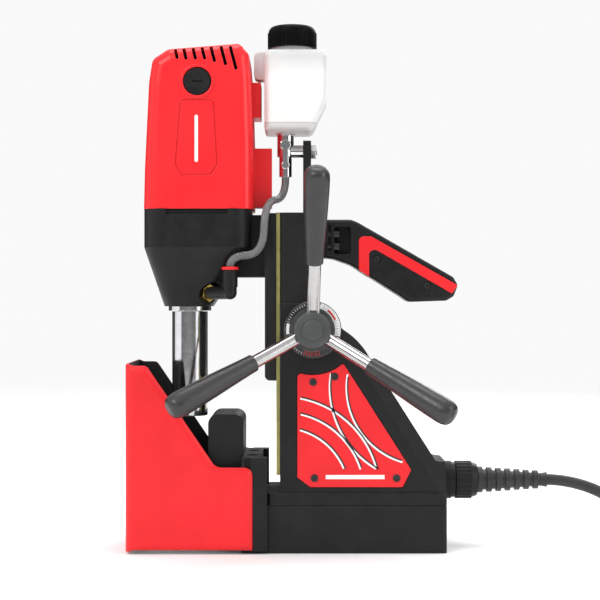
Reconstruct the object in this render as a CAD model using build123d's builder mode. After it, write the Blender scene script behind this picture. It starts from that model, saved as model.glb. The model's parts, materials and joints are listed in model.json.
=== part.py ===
"""Compact magnetic drill press, in millimetres.

+Z is up, +X points to the rear (handle and mains cord), +Y to the control panel side.
The origin is the centre of the magnet's pole face, on the work that it holds.
"""

import os
from math import acos, atan2, cos, degrees, pi, radians, sin, sqrt, tan

from build123d import *

os.makedirs("parts", exist_ok=True)

# ---- driving dimensions ----------------------------------------------------
BASE_LENGTH, BASE_WIDTH, MAGNET_HEIGHT = 160.0, 84.0, 37.0
FLANGE_FRONT, FLANGE_TOP = -59.3, 46.0
FIT = 0.1  # running gap of slides and shafts, on each side

COLUMN_FRONT, COLUMN_REAR, COLUMN_TOP, COLUMN_HALF = -49.5, -21.0, 264.0, 38.0
CASTING_HALF, WALL = 40.0, 6.0
STRIP = 2.8
DOVETAIL_FRONT, DOVETAIL_BACK = 13.0, 19.0  # half-widths of the tongue
TONGUE_BACK, POCKET_BACK = -39.9, -31.2

SLIDE_FRONT, SLIDE_BOTTOM, SLIDE_HALF = -61.5, 133.0, 30.0
FEED = 80.0
CHANNEL_BOTTOM = SLIDE_BOTTOM - FEED - 4

SPINDLE_X = -122.0
MOTOR_X = -114.0
ARBOR_RADIUS, BORE_RADIUS, BORE_DEPTH = 14.2, 9.55, 50.0
ARBOR_BOTTOM, ARBOR_TOP = 104.0, 187.0

PINION_X, PINION_Z = -24.3, 173.0
PINION_TEETH, PINION_MODULE = 12, 1.5
SHAFT_RADIUS = 7.0

CASE_LEFT, CASE_RIGHT, CASE_HALF = -156.0, -72.5, 40.0
CASE_TOP, CASE_SHOULDER, NOSE_BOTTOM, NOSE_RADIUS = 267.0, 237.0, 191.0, 19.2
MOTOR_HALF, MOTOR_TOP, SHELL = 39.0, 396.5, 3.5

GUARD_FRONT, GUARD_REAR, GUARD_HALF, GUARD_SHEET = -169.0, -69.0, 49.0, 2.5
PRESSURE = radians(25)

PIECES = {}


def keep(name, built):
    """Label one finished piece and remember it for export."""
    built.part.label = name
    PIECES[name] = built.part


def group(name, *members):
    """Let several small pieces of one body share a node, as separate solids."""
    with BuildPart() as together:
        for member in members:
            add(PIECES.pop(member))
    keep(name, together)


# ---- electromagnet ---------------------------------------------------------
POLE_LENGTH, POLE_WIDTH = 104.0, 30.0
GROOVE, GROOVE_DEPTH = 14.0, 27.0

with BuildPart() as magnet_core:
    with BuildSketch(Plane.XY):
        RectangleRounded(BASE_LENGTH, BASE_WIDTH, 3)
    extrude(amount=MAGNET_HEIGHT)
    with BuildSketch(Plane.XY) as groove_outline:
        RectangleRounded(POLE_LENGTH + 2 * GROOVE, POLE_WIDTH + 2 * GROOVE, 16)
        RectangleRounded(POLE_LENGTH, POLE_WIDTH, 5, mode=Mode.SUBTRACT)
    extrude(amount=GROOVE_DEPTH, mode=Mode.SUBTRACT)
    with Locations((0, 0, MAGNET_HEIGHT)):
        with GridLocations(118, 64, 2, 2):
            Hole(2.5, 14)
    chamfer(magnet_core.edges().group_by(Axis.Z)[-1], 0.8)
keep("magnet_core", magnet_core)

with BuildPart() as magnet_coil:
    with BuildSketch(Plane.XY):
        add(groove_outline.sketch_local)
    extrude(amount=GROOVE_DEPTH)
keep("magnet_coil", magnet_coil)

# ---- name plate outline, with its top edge round the shaft boss ---------------
PLATE_SHEET, PLATE_RECESS, PLATE_ARC = 1.5, 0.5, 35.2
PLATE_SCREWS = [(-23.9, 132.4), (-7.1, 136.6), (-22.8, 58), (40.8, 58)]
GIB_ROWS = [(-44.5, 75 + 42 * row) for row in range(5)]
PANEL_SCREWS = [(-16.5, 60), (-16.5, 134), (-6, 49.5), (56, 49.5), (38.1, 105.4), (-2, 144.5)]
HANDLE_BOLTS = [(side * 12.5, height) for side in (1, -1) for height in (238, 248)]


def plate_arc(x):
    """Point of the plate's top edge, which is concentric with the pinion shaft."""
    return (x, PINION_Z - sqrt(PLATE_ARC**2 - (x - PINION_X) ** 2))


with BuildSketch(Plane.XZ.offset(CASTING_HALF - PLATE_RECESS)) as plate_outline:
    with BuildLine():
        top_left, top_right = plate_arc(-34), plate_arc(-0.5)
        ThreePointArc(top_left, plate_arc(-18), top_right)
        Polyline(top_right, (52.2, 64.4), (45.5, 51), (-26, 51), (-36, 58.5), (-36, 137), top_left)
    make_face()
    fillet(plate_outline.vertices(), 1.8)

# ---- frame casting: foot, column, triangular body, shaft boss and cord boss ---
GLAND_Z, GLAND_RADIUS, GLAND_FACE = 52.5, 15.0, 86.5
SLOPE_TOP, SLOPE_FOOT = (18.0, 155.0), (72.0, 70.5)
CAVITY = (-14.0, 62.0, 52.0)
PANEL_SHEET, BEVEL = 3.0, 9.5
slope = Vector(SLOPE_TOP[0] - SLOPE_FOOT[0], 0, SLOPE_TOP[1] - SLOPE_FOOT[1]).normalized()
slope_plane = Plane(origin=(SLOPE_FOOT[0], 0, SLOPE_FOOT[1]), x_dir=(slope.Z, 0, -slope.X), z_dir=slope)

with BuildPart() as frame_casting:
    with BuildSketch(Plane.XY.offset(MAGNET_HEIGHT)):
        with Locations(((FLANGE_FRONT + BASE_LENGTH / 2) / 2, 0)):
            RectangleRounded(BASE_LENGTH / 2 - FLANGE_FRONT, BASE_WIDTH, 3)
    extrude(amount=FLANGE_TOP - MAGNET_HEIGHT)
    with BuildSketch(Plane.XZ):
        with BuildLine():
            Polyline((COLUMN_FRONT, FLANGE_TOP - 1), (80, FLANGE_TOP - 1), (80, 69.5), (76, 69.5),
                     SLOPE_FOOT, SLOPE_TOP)
            TangentArc(SLOPE_TOP, (0.3, 172.5), tangent=(slope.X, slope.Z))
            Polyline((0.3, 172.5), (COLUMN_REAR - 4, PINION_Z + 20), (COLUMN_FRONT, PINION_Z + 20),
                     (COLUMN_FRONT, FLANGE_TOP - 1))
        make_face()
    extrude(amount=CASTING_HALF, both=True)
    # broad bevels beside the sloping back
    with BuildSketch(slope_plane.offset(-45)):
        for side in (1, -1):
            with BuildLine():
                Polyline((-BEVEL, side * CASTING_HALF), (30, side * CASTING_HALF),
                         (30, side * (CASTING_HALF - BEVEL - 30)), close=True)
            make_face()
    extrude(amount=170, mode=Mode.SUBTRACT)
    with BuildSketch(Plane.XY.offset(FLANGE_TOP - 1)):
        with Locations(((COLUMN_FRONT + COLUMN_REAR) / 2, 0)):
            RectangleRounded(COLUMN_REAR - COLUMN_FRONT, 2 * COLUMN_HALF, 2.5)
    extrude(amount=COLUMN_TOP - FLANGE_TOP + 1)
    with BuildSketch(Plane.XZ):
        with Locations((PINION_X, PINION_Z)):
            Circle(21)
    extrude(amount=CASTING_HALF, both=True)
    with BuildSketch(Plane.YZ.offset(60)):
        with Locations((0, GLAND_Z)):
            Circle(GLAND_RADIUS)
    extrude(amount=GLAND_FACE - 60)
    # slide channel: dovetail, then the pocket for the rack, open at the column's top
    with BuildSketch(Plane.XY.offset(CHANNEL_BOTTOM)):
        with BuildLine():
            Polyline(
                (COLUMN_FRONT - 1, -DOVETAIL_FRONT - FIT), (COLUMN_FRONT, -DOVETAIL_FRONT - FIT),
                (TONGUE_BACK + FIT, -DOVETAIL_BACK - FIT), (TONGUE_BACK + FIT, -11), (POCKET_BACK, -11),
                (POCKET_BACK, 11), (TONGUE_BACK + FIT, 11), (TONGUE_BACK + FIT, DOVETAIL_BACK + FIT),
                (COLUMN_FRONT, DOVETAIL_FRONT + FIT), (COLUMN_FRONT - 1, DOVETAIL_FRONT + FIT), close=True,
            )
        make_face()
    extrude(amount=COLUMN_TOP, mode=Mode.SUBTRACT)
    # bore for the pinion shaft and its two bushes
    with BuildSketch(Plane.XZ):
        with Locations((PINION_X, PINION_Z)):
            Circle(11)
    extrude(amount=CASTING_HALF + 1, both=True, mode=Mode.SUBTRACT)
    # electrics chamber, open to the +Y side, with a rebate for the control panel
    with BuildSketch(Plane.XZ.offset(-CASTING_HALF)) as chamber_outline:
        with BuildLine():
            Polyline((CAVITY[0], CAVITY[2]), (CAVITY[1], CAVITY[2]), (CAVITY[1], 66), (10, 142),
                     (CAVITY[0], 142), close=True)
        make_face()
        fillet(chamber_outline.vertices(), 5)
    extrude(amount=2 * CASTING_HALF - WALL, mode=Mode.SUBTRACT)
    with BuildSketch(Plane.XZ.offset(-CASTING_HALF)) as panel_outline:
        offset(chamber_outline.sketch_local, amount=5)
    extrude(amount=PANEL_SHEET, mode=Mode.SUBTRACT)
    # cable passage through the cord boss, and a wire hole down to the coil
    with BuildSketch(Plane.YZ.offset(CAVITY[1] - 2)):
        with Locations((0, GLAND_Z + 4)):
            Circle(5.5)
    extrude(amount=40, mode=Mode.SUBTRACT)
    # recess for the name plate, and holes for its screws, the gib screws and the handle bolts
    with BuildSketch(Plane.XZ.offset(CASTING_HALF)):
        offset(plate_outline.sketch_local, amount=0.3)
    extrude(amount=-PLATE_RECESS, mode=Mode.SUBTRACT)
    with BuildSketch(Plane.XZ.offset(CASTING_HALF)):
        with Locations(*PLATE_SCREWS):
            Circle(1.6)
    extrude(amount=-WALL, mode=Mode.SUBTRACT)
    with BuildSketch(Plane.XZ.offset(-CASTING_HALF - 0.1)):
        with Locations(*GIB_ROWS):
            Circle(2.4)
    extrude(amount=CASTING_HALF - 24.9, mode=Mode.SUBTRACT)
    with BuildSketch(Plane.XZ.offset(-CASTING_HALF)):
        with Locations(*PANEL_SCREWS):
            Circle(1.3)
    extrude(amount=12, mode=Mode.SUBTRACT)
    with BuildSketch(Plane.YZ.offset(COLUMN_REAR + 1)):
        with Locations(*HANDLE_BOLTS):
            Circle(2.4)
    extrude(amount=-13, mode=Mode.SUBTRACT)
    with BuildSketch(Plane.XY.offset(COLUMN_TOP)):
        with Locations((-26, 22), (-26, -22)):
            Circle(2.1)
    extrude(amount=-14, mode=Mode.SUBTRACT)
keep("frame_casting", frame_casting)

# ---- brass wear strips on the column and the screws that set their fit ------
with BuildPart() as brass_wear_strips:
    with BuildSketch(Plane.XY.offset(60)):
        with Locations(*[(COLUMN_FRONT - STRIP / 2, side * (COLUMN_HALF + 14) / 2) for side in (1, -1)]):
            Rectangle(STRIP, COLUMN_HALF - 14)
    extrude(amount=COLUMN_TOP - 60)
keep("brass_wear_strips", brass_wear_strips)

with BuildPart() as gib_screws:
    with BuildSketch(Plane.XZ.offset(-COLUMN_HALF - 1.5)):
        with Locations(*GIB_ROWS):
            Circle(2.4)
            RegularPolygon(1.4, 6, mode=Mode.SUBTRACT)
    extrude(amount=2.5)
    with BuildSketch(Plane.XZ.offset(-COLUMN_HALF + 1)):
        with Locations(*GIB_ROWS):
            Circle(2.4)
    extrude(amount=12)
keep("gib_screws", gib_screws)

# ---- name plate ---------------------------------------------------------------
with BuildPart() as name_plate:
    with BuildSketch(Plane.XZ.offset(CASTING_HALF - PLATE_RECESS)):
        add(plate_outline.sketch_local)
    extrude(amount=PLATE_SHEET)
    with BuildSketch(Plane.XZ.offset(CASTING_HALF + PLATE_SHEET)):
        with Locations(*PLATE_SCREWS):
            Circle(1.7)
    extrude(amount=-5, mode=Mode.SUBTRACT)
keep("name_plate", name_plate)


def pan_screws(points, plane, head, shank, length, height):
    """Pan-head screws along a plane's normal, heads on its outer side, in one node."""
    with BuildPart() as screws:
        with BuildSketch(plane):
            with Locations(*points):
                Circle(head)
        extrude(amount=height)
        fillet(screws.edges().filter_by(GeomType.CIRCLE).group_by(SortBy.RADIUS)[-1]
               .sort_by(lambda edge: plane.to_local_coords(edge.center()).Z)[-len(points):], 0.45 * height)
        with BuildSketch(plane):
            with Locations(*points):
                Circle(shank)
        extrude(amount=-length)
        with BuildSketch(plane.offset(height)):
            with Locations(*points):
                RegularPolygon(0.5 * head, 6)
        extrude(amount=-0.55 * height, mode=Mode.SUBTRACT)
    return screws


near_face = Plane.XZ.offset(CASTING_HALF - PLATE_RECESS + PLATE_SHEET)
name_plate_screws = pan_screws(PLATE_SCREWS, near_face, 2.9, 1.6, 6, 1.3)
keep("name_plate_screws", name_plate_screws)

# ---- guard carrier: a saddle over the magnet's nose -------------------------
LUG_FRONT, LUG_TOP, CHEEK_IN, CHEEK_OUT = -79.0, 74.0, 42.3, 46.2
RIB_IN, RIB_X, RIB_WIDTH = 43.4, -74.5, 4.0
LUG_REAR = FLANGE_FRONT - 0.2

with BuildPart() as guard_carrier:
    with BuildSketch(Plane.XZ):
        with BuildLine():
            Polyline((LUG_FRONT, 2), (LUG_REAR, 2), (LUG_REAR, LUG_TOP), (LUG_FRONT, LUG_TOP), close=True)
        make_face()
    extrude(amount=CHEEK_OUT, both=True)
    with BuildSketch(Plane.XZ):
        with BuildLine():
            Polyline((-105.5, 60), (LUG_FRONT + 1, 60), (LUG_FRONT + 1, 107), (-105.5, 107), close=True)
        make_face()
    extrude(amount=36, both=True)
    fillet(guard_carrier.edges().filter_by(Axis.Y).filter_by_position(Axis.Z, 106, 108), 7.5)
    # seat over the magnet, room behind for the slide, and room in front for the cutter
    with Locations((-60, 0, (MAGNET_HEIGHT + 0.2) / 2 - 5)):
        Box(80, 2 * CHEEK_IN, MAGNET_HEIGHT + 10.2, mode=Mode.SUBTRACT)
    with Locations((-55, 0, 80)):
        Box(18, 2 * SLIDE_HALF + 6, 70, mode=Mode.SUBTRACT)
    with BuildSketch(Plane.XY.offset(30)):
        with Locations((SPINDLE_X, 0)):
            Circle(21)
    extrude(amount=90, mode=Mode.SUBTRACT)
    # grooves that guide the guard's ribs
    with Locations(*[(RIB_X, side * (CHEEK_OUT + RIB_IN - 0.3) / 2, 38) for side in (1, -1)]):
        Box(RIB_WIDTH + 0.6, CHEEK_OUT - RIB_IN + 0.3, 80, mode=Mode.SUBTRACT)
    with Locations((-71, 0, 0)):
        with Locations(*[(0, side * 20, 56) for side in (1, -1)]):
            CounterBoreHole(2.7, 4.8, 6)
keep("guard_carrier", guard_carrier)

# ---- cutter guard: a sheet folded round three sides, with ribs on its inner faces
GUARD_TOP, GUARD_SHELF, GUARD_FOOT = 147.0, 68.4, 1.2

with BuildPart() as guard:
    with BuildSketch(Plane.XZ):
        with BuildLine():
            FilletPolyline((GUARD_FRONT, GUARD_FOOT), (GUARD_REAR, GUARD_FOOT), (GUARD_REAR, GUARD_SHELF),
                           (-98, GUARD_SHELF), (-151.5, GUARD_TOP), (GUARD_FRONT, GUARD_TOP),
                           radius=[0.5, 0.5, 8, 7, 6, 2], close=True)
        make_face()
    extrude(amount=GUARD_HALF, both=True)
    fillet(guard.edges().filter_by(Axis.Z).filter_by_position(Axis.X, GUARD_FRONT - 1, GUARD_FRONT + 1), 7)
    with BuildSketch(Plane.XY):
        with Locations(((GUARD_FRONT + GUARD_SHEET + 0) / 2, 0)):
            RectangleRounded(-GUARD_FRONT - GUARD_SHEET, 2 * (GUARD_HALF - GUARD_SHEET), 4.5)
    extrude(amount=200, mode=Mode.SUBTRACT)
    for side in (1, -1):
        with BuildSketch(Plane.XY.offset(GUARD_FOOT + 4)):
            with Locations((RIB_X, side * (GUARD_HALF - GUARD_SHEET + RIB_IN) / 2)):
                Rectangle(RIB_WIDTH, GUARD_HALF - GUARD_SHEET - RIB_IN + 0.02)
        extrude(amount=54)
keep("guard", guard)

with BuildPart() as carrier_screws:
    with BuildSketch(Plane.XY.offset(50)):
        with Locations(*[(-71, side * 20) for side in (1, -1)]):
            Circle(4.5)
            RegularPolygon(2.4, 6, mode=Mode.SUBTRACT)
    extrude(amount=5)
    with BuildSketch(Plane.XY.offset(50)):
        with Locations(*[(-71, side * 20) for side in (1, -1)]):
            Circle(2.4)
    extrude(amount=-12.5)
keep("carrier_screws", carrier_screws)

# ---- control panel on the +Y side, its board, switch and buttons -------------
PANEL_IN = CASTING_HALF - PANEL_SHEET
START_AT, STOP_AT, ROCKER_AT, LAMP_AT = (2.0, 121.0), (3.0, 95.0), (20.0, 67.0), (22.0, 104.0)
SPACERS = [(-8, 134), (-8, 60), (54, 60), (-8, 104)]
BUTTON_HOLE, BOARD_FACE = 8.4, 21.6
ROCKER_WIDTH, ROCKER_HEIGHT, ROCKER_TILT = 24.0, 14.0, 8.0

with BuildPart() as control_panel:
    with BuildSketch(Plane.XZ.offset(-CASTING_HALF)):
        offset(panel_outline.sketch_local, amount=-0.15)
    extrude(amount=PANEL_SHEET)
    with BuildSketch(Plane.XZ.offset(-CASTING_HALF)):
        with Locations(START_AT, STOP_AT):
            Circle(BUTTON_HOLE + 2.1)
    extrude(amount=-1.6)
    with BuildSketch(Plane.XZ.offset(-CASTING_HALF - 2)):
        with Locations(START_AT, STOP_AT):
            Circle(BUTTON_HOLE)
        with Locations(ROCKER_AT):
            Rectangle(ROCKER_WIDTH + 0.6, ROCKER_HEIGHT + 0.6)
        with Locations(LAMP_AT):
            Circle(2.5)
        with Locations(*PANEL_SCREWS):
            Circle(1.4)
    extrude(amount=PANEL_SHEET + 2, mode=Mode.SUBTRACT)
    # bosses that carry the circuit board
    with BuildSketch(Plane.XZ.offset(-PANEL_IN)):
        with Locations(*SPACERS):
            Circle(3)
    extrude(amount=PANEL_IN - BOARD_FACE)
keep("control_panel", control_panel)

near_side_screws = pan_screws(PANEL_SCREWS, Plane.XZ.offset(CASTING_HALF), 2.3, 1.3, 10, 1.2)
with BuildPart() as panel_screws:
    add(mirror(near_side_screws.part, about=Plane.XZ))
keep("panel_screws", panel_screws)


def push_button(at, dish):
    """A button with a lip behind the panel and a stem to its switch on the board."""
    with BuildPart() as button:
        for radius, high, low in ((BUTTON_HOLE + 1.6, PANEL_IN - 0.4, PANEL_IN - 2),
                                  (2.5, PANEL_IN - 2, 26.5),
                                  (BUTTON_HOLE - 0.3, 45.5, PANEL_IN - 0.4)):
            with BuildSketch(Plane.XZ.offset(-high)):
                with Locations(at):
                    Circle(radius)
            extrude(amount=high - low)
        fillet(button.edges().filter_by(GeomType.CIRCLE).sort_by(Axis.Y)[-1], 1.4)
        with BuildSketch(Plane.XZ.offset(-45.5)):
            with Locations(at):
                Circle(BUTTON_HOLE - 3)
        extrude(amount=dish, mode=Mode.SUBTRACT)
    return button


keep("start_button", push_button(START_AT, 1.2))
keep("stop_button", push_button(STOP_AT, 0.5))

with BuildPart() as rocker_bezel:
    with BuildSketch(Plane.XZ.offset(-CASTING_HALF - 1.4)):
        with Locations(ROCKER_AT):
            RectangleRounded(ROCKER_WIDTH + 5, ROCKER_HEIGHT + 5, 2)
    extrude(amount=1.4)
    with BuildSketch(Plane.XZ.offset(-CASTING_HALF)):
        with Locations(ROCKER_AT):
            Rectangle(ROCKER_WIDTH, ROCKER_HEIGHT)
    extrude(amount=13.5)
    with BuildSketch(Plane.XZ.offset(-CASTING_HALF - 1.4)):
        with Locations(ROCKER_AT):
            Rectangle(ROCKER_WIDTH - 3, ROCKER_HEIGHT - 3)
    extrude(amount=13.4, mode=Mode.SUBTRACT)
    with BuildSketch(Plane.XY.offset(ROCKER_AT[1] - 6.5)):
        with Locations((ROCKER_AT[0], 36)):
            Circle(1.2)
    extrude(amount=13, mode=Mode.SUBTRACT)
    with BuildSketch(Plane.XZ.offset(-26.5)):
        with Locations(*[(ROCKER_AT[0] + side * 6, ROCKER_AT[1]) for side in (1, -1)]):
            Rectangle(0.8, 3)
    extrude(amount=26.5 - 21.6)
keep("rocker_bezel", rocker_bezel)

rocker_plane = Plane(origin=(ROCKER_AT[0], 36, ROCKER_AT[1]), z_dir=(0, 0, 1)).rotated((0, 0, -ROCKER_TILT))
with BuildPart() as magnet_rocker:
    with BuildSketch(rocker_plane.offset(-5.2)):
        with BuildLine():
            Polyline((-7, -4), (7, -4), (9.4, 2), (9.4, 5.4))
            ThreePointArc((9.4, 5.4), (0, 3.8), (-9.4, 5.4))
            Polyline((-9.4, 5.4), (-9.4, 2), (-7, -4))
        make_face()
    extrude(amount=10.4)
    with BuildSketch(rocker_plane.offset(-6.4)):
        Circle(1.12)
    extrude(amount=12.8)
keep("magnet_rocker", magnet_rocker)

with BuildPart() as lamp_lens:
    with BuildSketch(Plane.XZ.offset(-PANEL_IN)):
        with Locations(LAMP_AT):
            Circle(2.5)
    extrude(amount=-4.6)
    fillet(lamp_lens.edges().sort_by(Axis.Y)[-1], 1.6)
    with BuildSketch(Plane.XZ.offset(-PANEL_IN)):
        with Locations(LAMP_AT):
            Circle(3.2)
    extrude(amount=1)
keep("lamp_lens", lamp_lens)

with BuildPart() as circuit_board:
    with BuildSketch(Plane.XZ.offset(-BOARD_FACE)):
        offset(chamber_outline.sketch_local, amount=-1.5)
    extrude(amount=1.6)
    # relay, capacitors and the two button switches
    for at, wide, high, tall in (((34, 84), 20, 16, 9), ((2, 78), 14, 6, 5), ((START_AT), 9, 9, 2.2),
                                 ((STOP_AT), 9, 9, 2.2)):
        with BuildSketch(Plane.XZ.offset(-BOARD_FACE)):
            with Locations(at):
                Rectangle(wide, high)
        extrude(amount=-tall)
    with BuildSketch(Plane.XZ.offset(-BOARD_FACE + 1.6)):
        with Locations((14, 62), (30, 62), (44, 62)):
            Circle(5)
    extrude(amount=14)
keep("circuit_board", circuit_board)

# ---- carry handle: two shells bolted to the column, with red inlays ----------
HANDLE_HALF = 17.0
HANDLE = [(COLUMN_REAR, 230), (-7.8, 228.6), (5.9, 223.8), (19.5, 215.3), (44.6, 199.4), (51.9, 194.4),
          (81.6, 195.4), (87.6, 199), (91, 207.8), (87, 214.4), (11.6, 257.6), (6.7, 259.6),
          (COLUMN_REAR, 259.6)]
HANDLE_RADII = [0, 12, 20, 0, 12, 6, 6, 4, 5, 4, 6, 6, 0]
HANDLE_SCREWS = [(26.8, 228.1), (66.3, 207.3)]
INLAY = [(12.4, 219.6), (12.4, 246.3), (22.2, 246.3), (90.6, 207.6), (86, 201), (25.2, 236), (20.6, 234),
         (20.6, 214.4)]

with BuildSketch(Plane.XZ) as handle_outline:
    with BuildLine():
        FilletPolyline(*HANDLE, radius=HANDLE_RADII, close=True)
    make_face()
with BuildSketch(Plane.XZ) as inlay_outline:
    with BuildLine():
        FilletPolyline(*INLAY, radius=[0, 4, 3, 1, 1, 4, 3, 0], close=True)
    make_face()


def handle_shell(side):
    """One half of the handle; side is -1 on the capstan side and +1 on the panel side."""
    with BuildPart() as shell:
        with BuildSketch(Plane.XZ.offset(-side * HANDLE_HALF)):
            add(handle_outline.sketch_local)
        extrude(amount=side * HANDLE_HALF)
        outer = shell.faces().filter_by(Axis.Y).sort_by(Axis.Y)[-1 if side > 0 else 0]
        fillet(outer.edges(), 3)
        # hollow grip, bolt pocket, slot beside the flange, screw seats and inlay recess
        with BuildSketch(Plane.XZ):
            with BuildLine():
                FilletPolyline((26, 244), (84, 209.6), (80, 200.6), (53.6, 199.4), (24, 218.6), (14, 225),
                               (14, 244),
                               radius=[5, 3, 3, 5, 8, 3, 3], close=True)
            make_face()
            with Locations(*HANDLE_SCREWS):
                Circle(4, mode=Mode.SUBTRACT)
        extrude(amount=-side * (HANDLE_HALF - 3.5), mode=Mode.SUBTRACT)
        with BuildSketch(Plane.XZ.offset(-side * HANDLE_HALF)):
            with Locations((-0.5, 243)):
                RectangleRounded(13, 22, 1.5)
        extrude(amount=side * 10, mode=Mode.SUBTRACT)
        with BuildSketch(Plane.XZ.offset(-side * HANDLE_HALF)):
            with Locations((-10.8, 245)):
                SlotOverall(21, 2.4, rotation=90)
        extrude(amount=side * 3, mode=Mode.SUBTRACT)
        with BuildSketch(Plane.XZ.offset(-side * HANDLE_HALF)):
            add(inlay_outline.sketch_local)
        extrude(amount=side * 1.5, mode=Mode.SUBTRACT)
        with BuildSketch(Plane.XZ.offset(-side * HANDLE_HALF)):
            with Locations(*HANDLE_SCREWS):
                Circle(3.4)
        extrude(amount=side * 3, mode=Mode.SUBTRACT)
        with BuildSketch(Plane.XZ):
            with Locations(*HANDLE_SCREWS):
                Circle(1.6)
        extrude(amount=-side * HANDLE_HALF, mode=Mode.SUBTRACT)
        with BuildSketch(Plane.YZ.offset(COLUMN_REAR)):
            with Locations(*[(side * 12.5, height) for height in (238, 248)]):
                Circle(2.4)
        extrude(amount=17, mode=Mode.SUBTRACT)
    return shell


keep("handle_shell_near", handle_shell(-1))
keep("handle_shell_far", handle_shell(1))

for name, side in (("handle_inlay_near", -1), ("handle_inlay_far", 1)):
    with BuildPart() as inlay:
        with BuildSketch(Plane.XZ.offset(-side * (HANDLE_HALF + 0.5))):
            add(inlay_outline.sketch_local)
        extrude(amount=side * 2)
        outer = inlay.faces().filter_by(Axis.Y).sort_by(Axis.Y)[-1 if side > 0 else 0]
        fillet(outer.edges(), 0.5)
    keep(name, inlay)

with BuildPart() as handle_screws:
    for side in (1, -1):
        with BuildSketch(Plane.XZ.offset(side * (HANDLE_HALF - 3))):
            with Locations(*HANDLE_SCREWS):
                Circle(3)
        extrude(amount=side * 2.2)
        with BuildSketch(Plane.XZ.offset(side * (HANDLE_HALF - 0.8))):
            with Locations(*HANDLE_SCREWS):
                RegularPolygon(1.5, 6)
        extrude(amount=-side * 1.4, mode=Mode.SUBTRACT)
        with BuildSketch(Plane.XZ.offset(side * (HANDLE_HALF - 3))):
            with Locations(*HANDLE_SCREWS):
                Circle(1.6)
        extrude(amount=-side * (HANDLE_HALF - 3.2))
keep("handle_screws", handle_screws)

with BuildPart() as handle_bolts:
    with BuildSketch(Plane.YZ.offset(-7)):
        with Locations(*HANDLE_BOLTS):
            Circle(3.9)
            RegularPolygon(2, 6, mode=Mode.SUBTRACT)
    extrude(amount=4)
    with BuildSketch(Plane.YZ.offset(-7)):
        with Locations(*HANDLE_BOLTS):
            Circle(2.4)
    extrude(amount=-26)
keep("handle_bolts", handle_bolts)

# ---- coolant bottle on its bracket, with tap and lever ------------------------
BRACKET_X, BRACKET_SHEET, BRACKET_TOP = -31.5, 6.3, 323.0
TAP_X, TAP_TOP, TAP_STEP, TAP_BOTTOM = -45.6, 333.0, 310.4, 294.4
TANK_LEFT, TANK_RIGHT, TANK_BOTTOM, TANK_TOP, TANK_HALF, TANK_WALL = -62.0, -13.0, 328.5, 396.5, 26.0, 2.0
CAP_X, CAP_RADIUS, NECK_RADIUS, LUG_END = -40.2, 19.6, 16.0, 69.5

with BuildPart() as tank_bracket:
    with BuildSketch(Plane.XY.offset(COLUMN_TOP)):
        with Locations(((BRACKET_X + COLUMN_REAR) / 2 + 0.4, 0)):
            RectangleRounded(COLUMN_REAR - BRACKET_X - 0.8, 60, 2)
    extrude(amount=4)
    with BuildSketch(Plane.YZ.offset(BRACKET_X)):
        with Locations((0, (COLUMN_TOP + BRACKET_TOP) / 2 + 1)):
            Rectangle(22, BRACKET_TOP - COLUMN_TOP - 2)
    extrude(amount=BRACKET_SHEET)
    fillet(tank_bracket.edges().filter_by(Axis.X).group_by(Axis.Z)[-1], 6)
    with BuildSketch(Plane.YZ.offset(BRACKET_X)):
        with Locations((0, 318.5 - 4)):
            Circle(3.2)
    extrude(amount=BRACKET_SHEET, mode=Mode.SUBTRACT)
    with Locations(*[(-26, side * 22, COLUMN_TOP + 4) for side in (1, -1)]):
        Hole(2.2)
keep("tank_bracket", tank_bracket)

bracket_screws = pan_screws([(-26, 22), (-26, -22)], Plane.XY.offset(COLUMN_TOP + 4), 3.6, 2.1, 14, 2.2)
keep("bracket_screws", bracket_screws)

with BuildPart() as tap_body:
    with BuildSketch(Plane.XY.offset(TAP_STEP)):
        with Locations((TAP_X, 0)):
            Circle(6.6)
    extrude(amount=TAP_TOP - TAP_STEP - 5)
    with BuildSketch(Plane.XY.offset(TAP_TOP - 5)):
        with Locations((TAP_X, 0)):
            RegularPolygon(8.2, 6)
    extrude(amount=5 - TAP_TOP + TANK_BOTTOM)
    with BuildSketch(Plane.XY.offset(TAP_BOTTOM)):
        with Locations((TAP_X, 0)):
            Circle(5)
    extrude(amount=TAP_STEP - TAP_BOTTOM)
    with BuildSketch(Plane.XY.offset(TANK_BOTTOM)):
        with Locations((TAP_X, 0)):
            Circle(4.9)
    extrude(amount=9)
    with BuildSketch(Plane.YZ.offset(TAP_X)):
        with Locations((0, 314.5)):
            Circle(5.2)
    extrude(amount=BRACKET_X - TAP_X)
    with BuildSketch(Plane.YZ.offset(TAP_X)):
        with Locations((0, 314.5)):
            Circle(3.1)
    extrude(amount=BRACKET_X + BRACKET_SHEET + 5 - TAP_X)
    # seat for the lever's stem on the capstan side, and the water way
    with BuildSketch(Plane.XZ.offset(4)):
        with Locations((TAP_X, 319)):
            Circle(4.6)
    extrude(amount=6)
    with BuildSketch(Plane.XZ):
        with Locations((TAP_X, 319)):
            Circle(2.6)
    extrude(amount=11, mode=Mode.SUBTRACT)
    with BuildSketch(Plane.XY.offset(TAP_BOTTOM - 1)):
        with Locations((TAP_X, 0)):
            Circle(2.2)
    extrude(amount=60, mode=Mode.SUBTRACT)
keep("tap_body", tap_body)

with BuildPart() as tap_nut:
    with BuildSketch(Plane.YZ.offset(BRACKET_X + BRACKET_SHEET + 0.02)):
        with Locations((0, 314.5)):
            RegularPolygon(6, 6)
            Circle(3.14, mode=Mode.SUBTRACT)
    extrude(amount=4)
keep("tap_nut", tap_nut)

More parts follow.
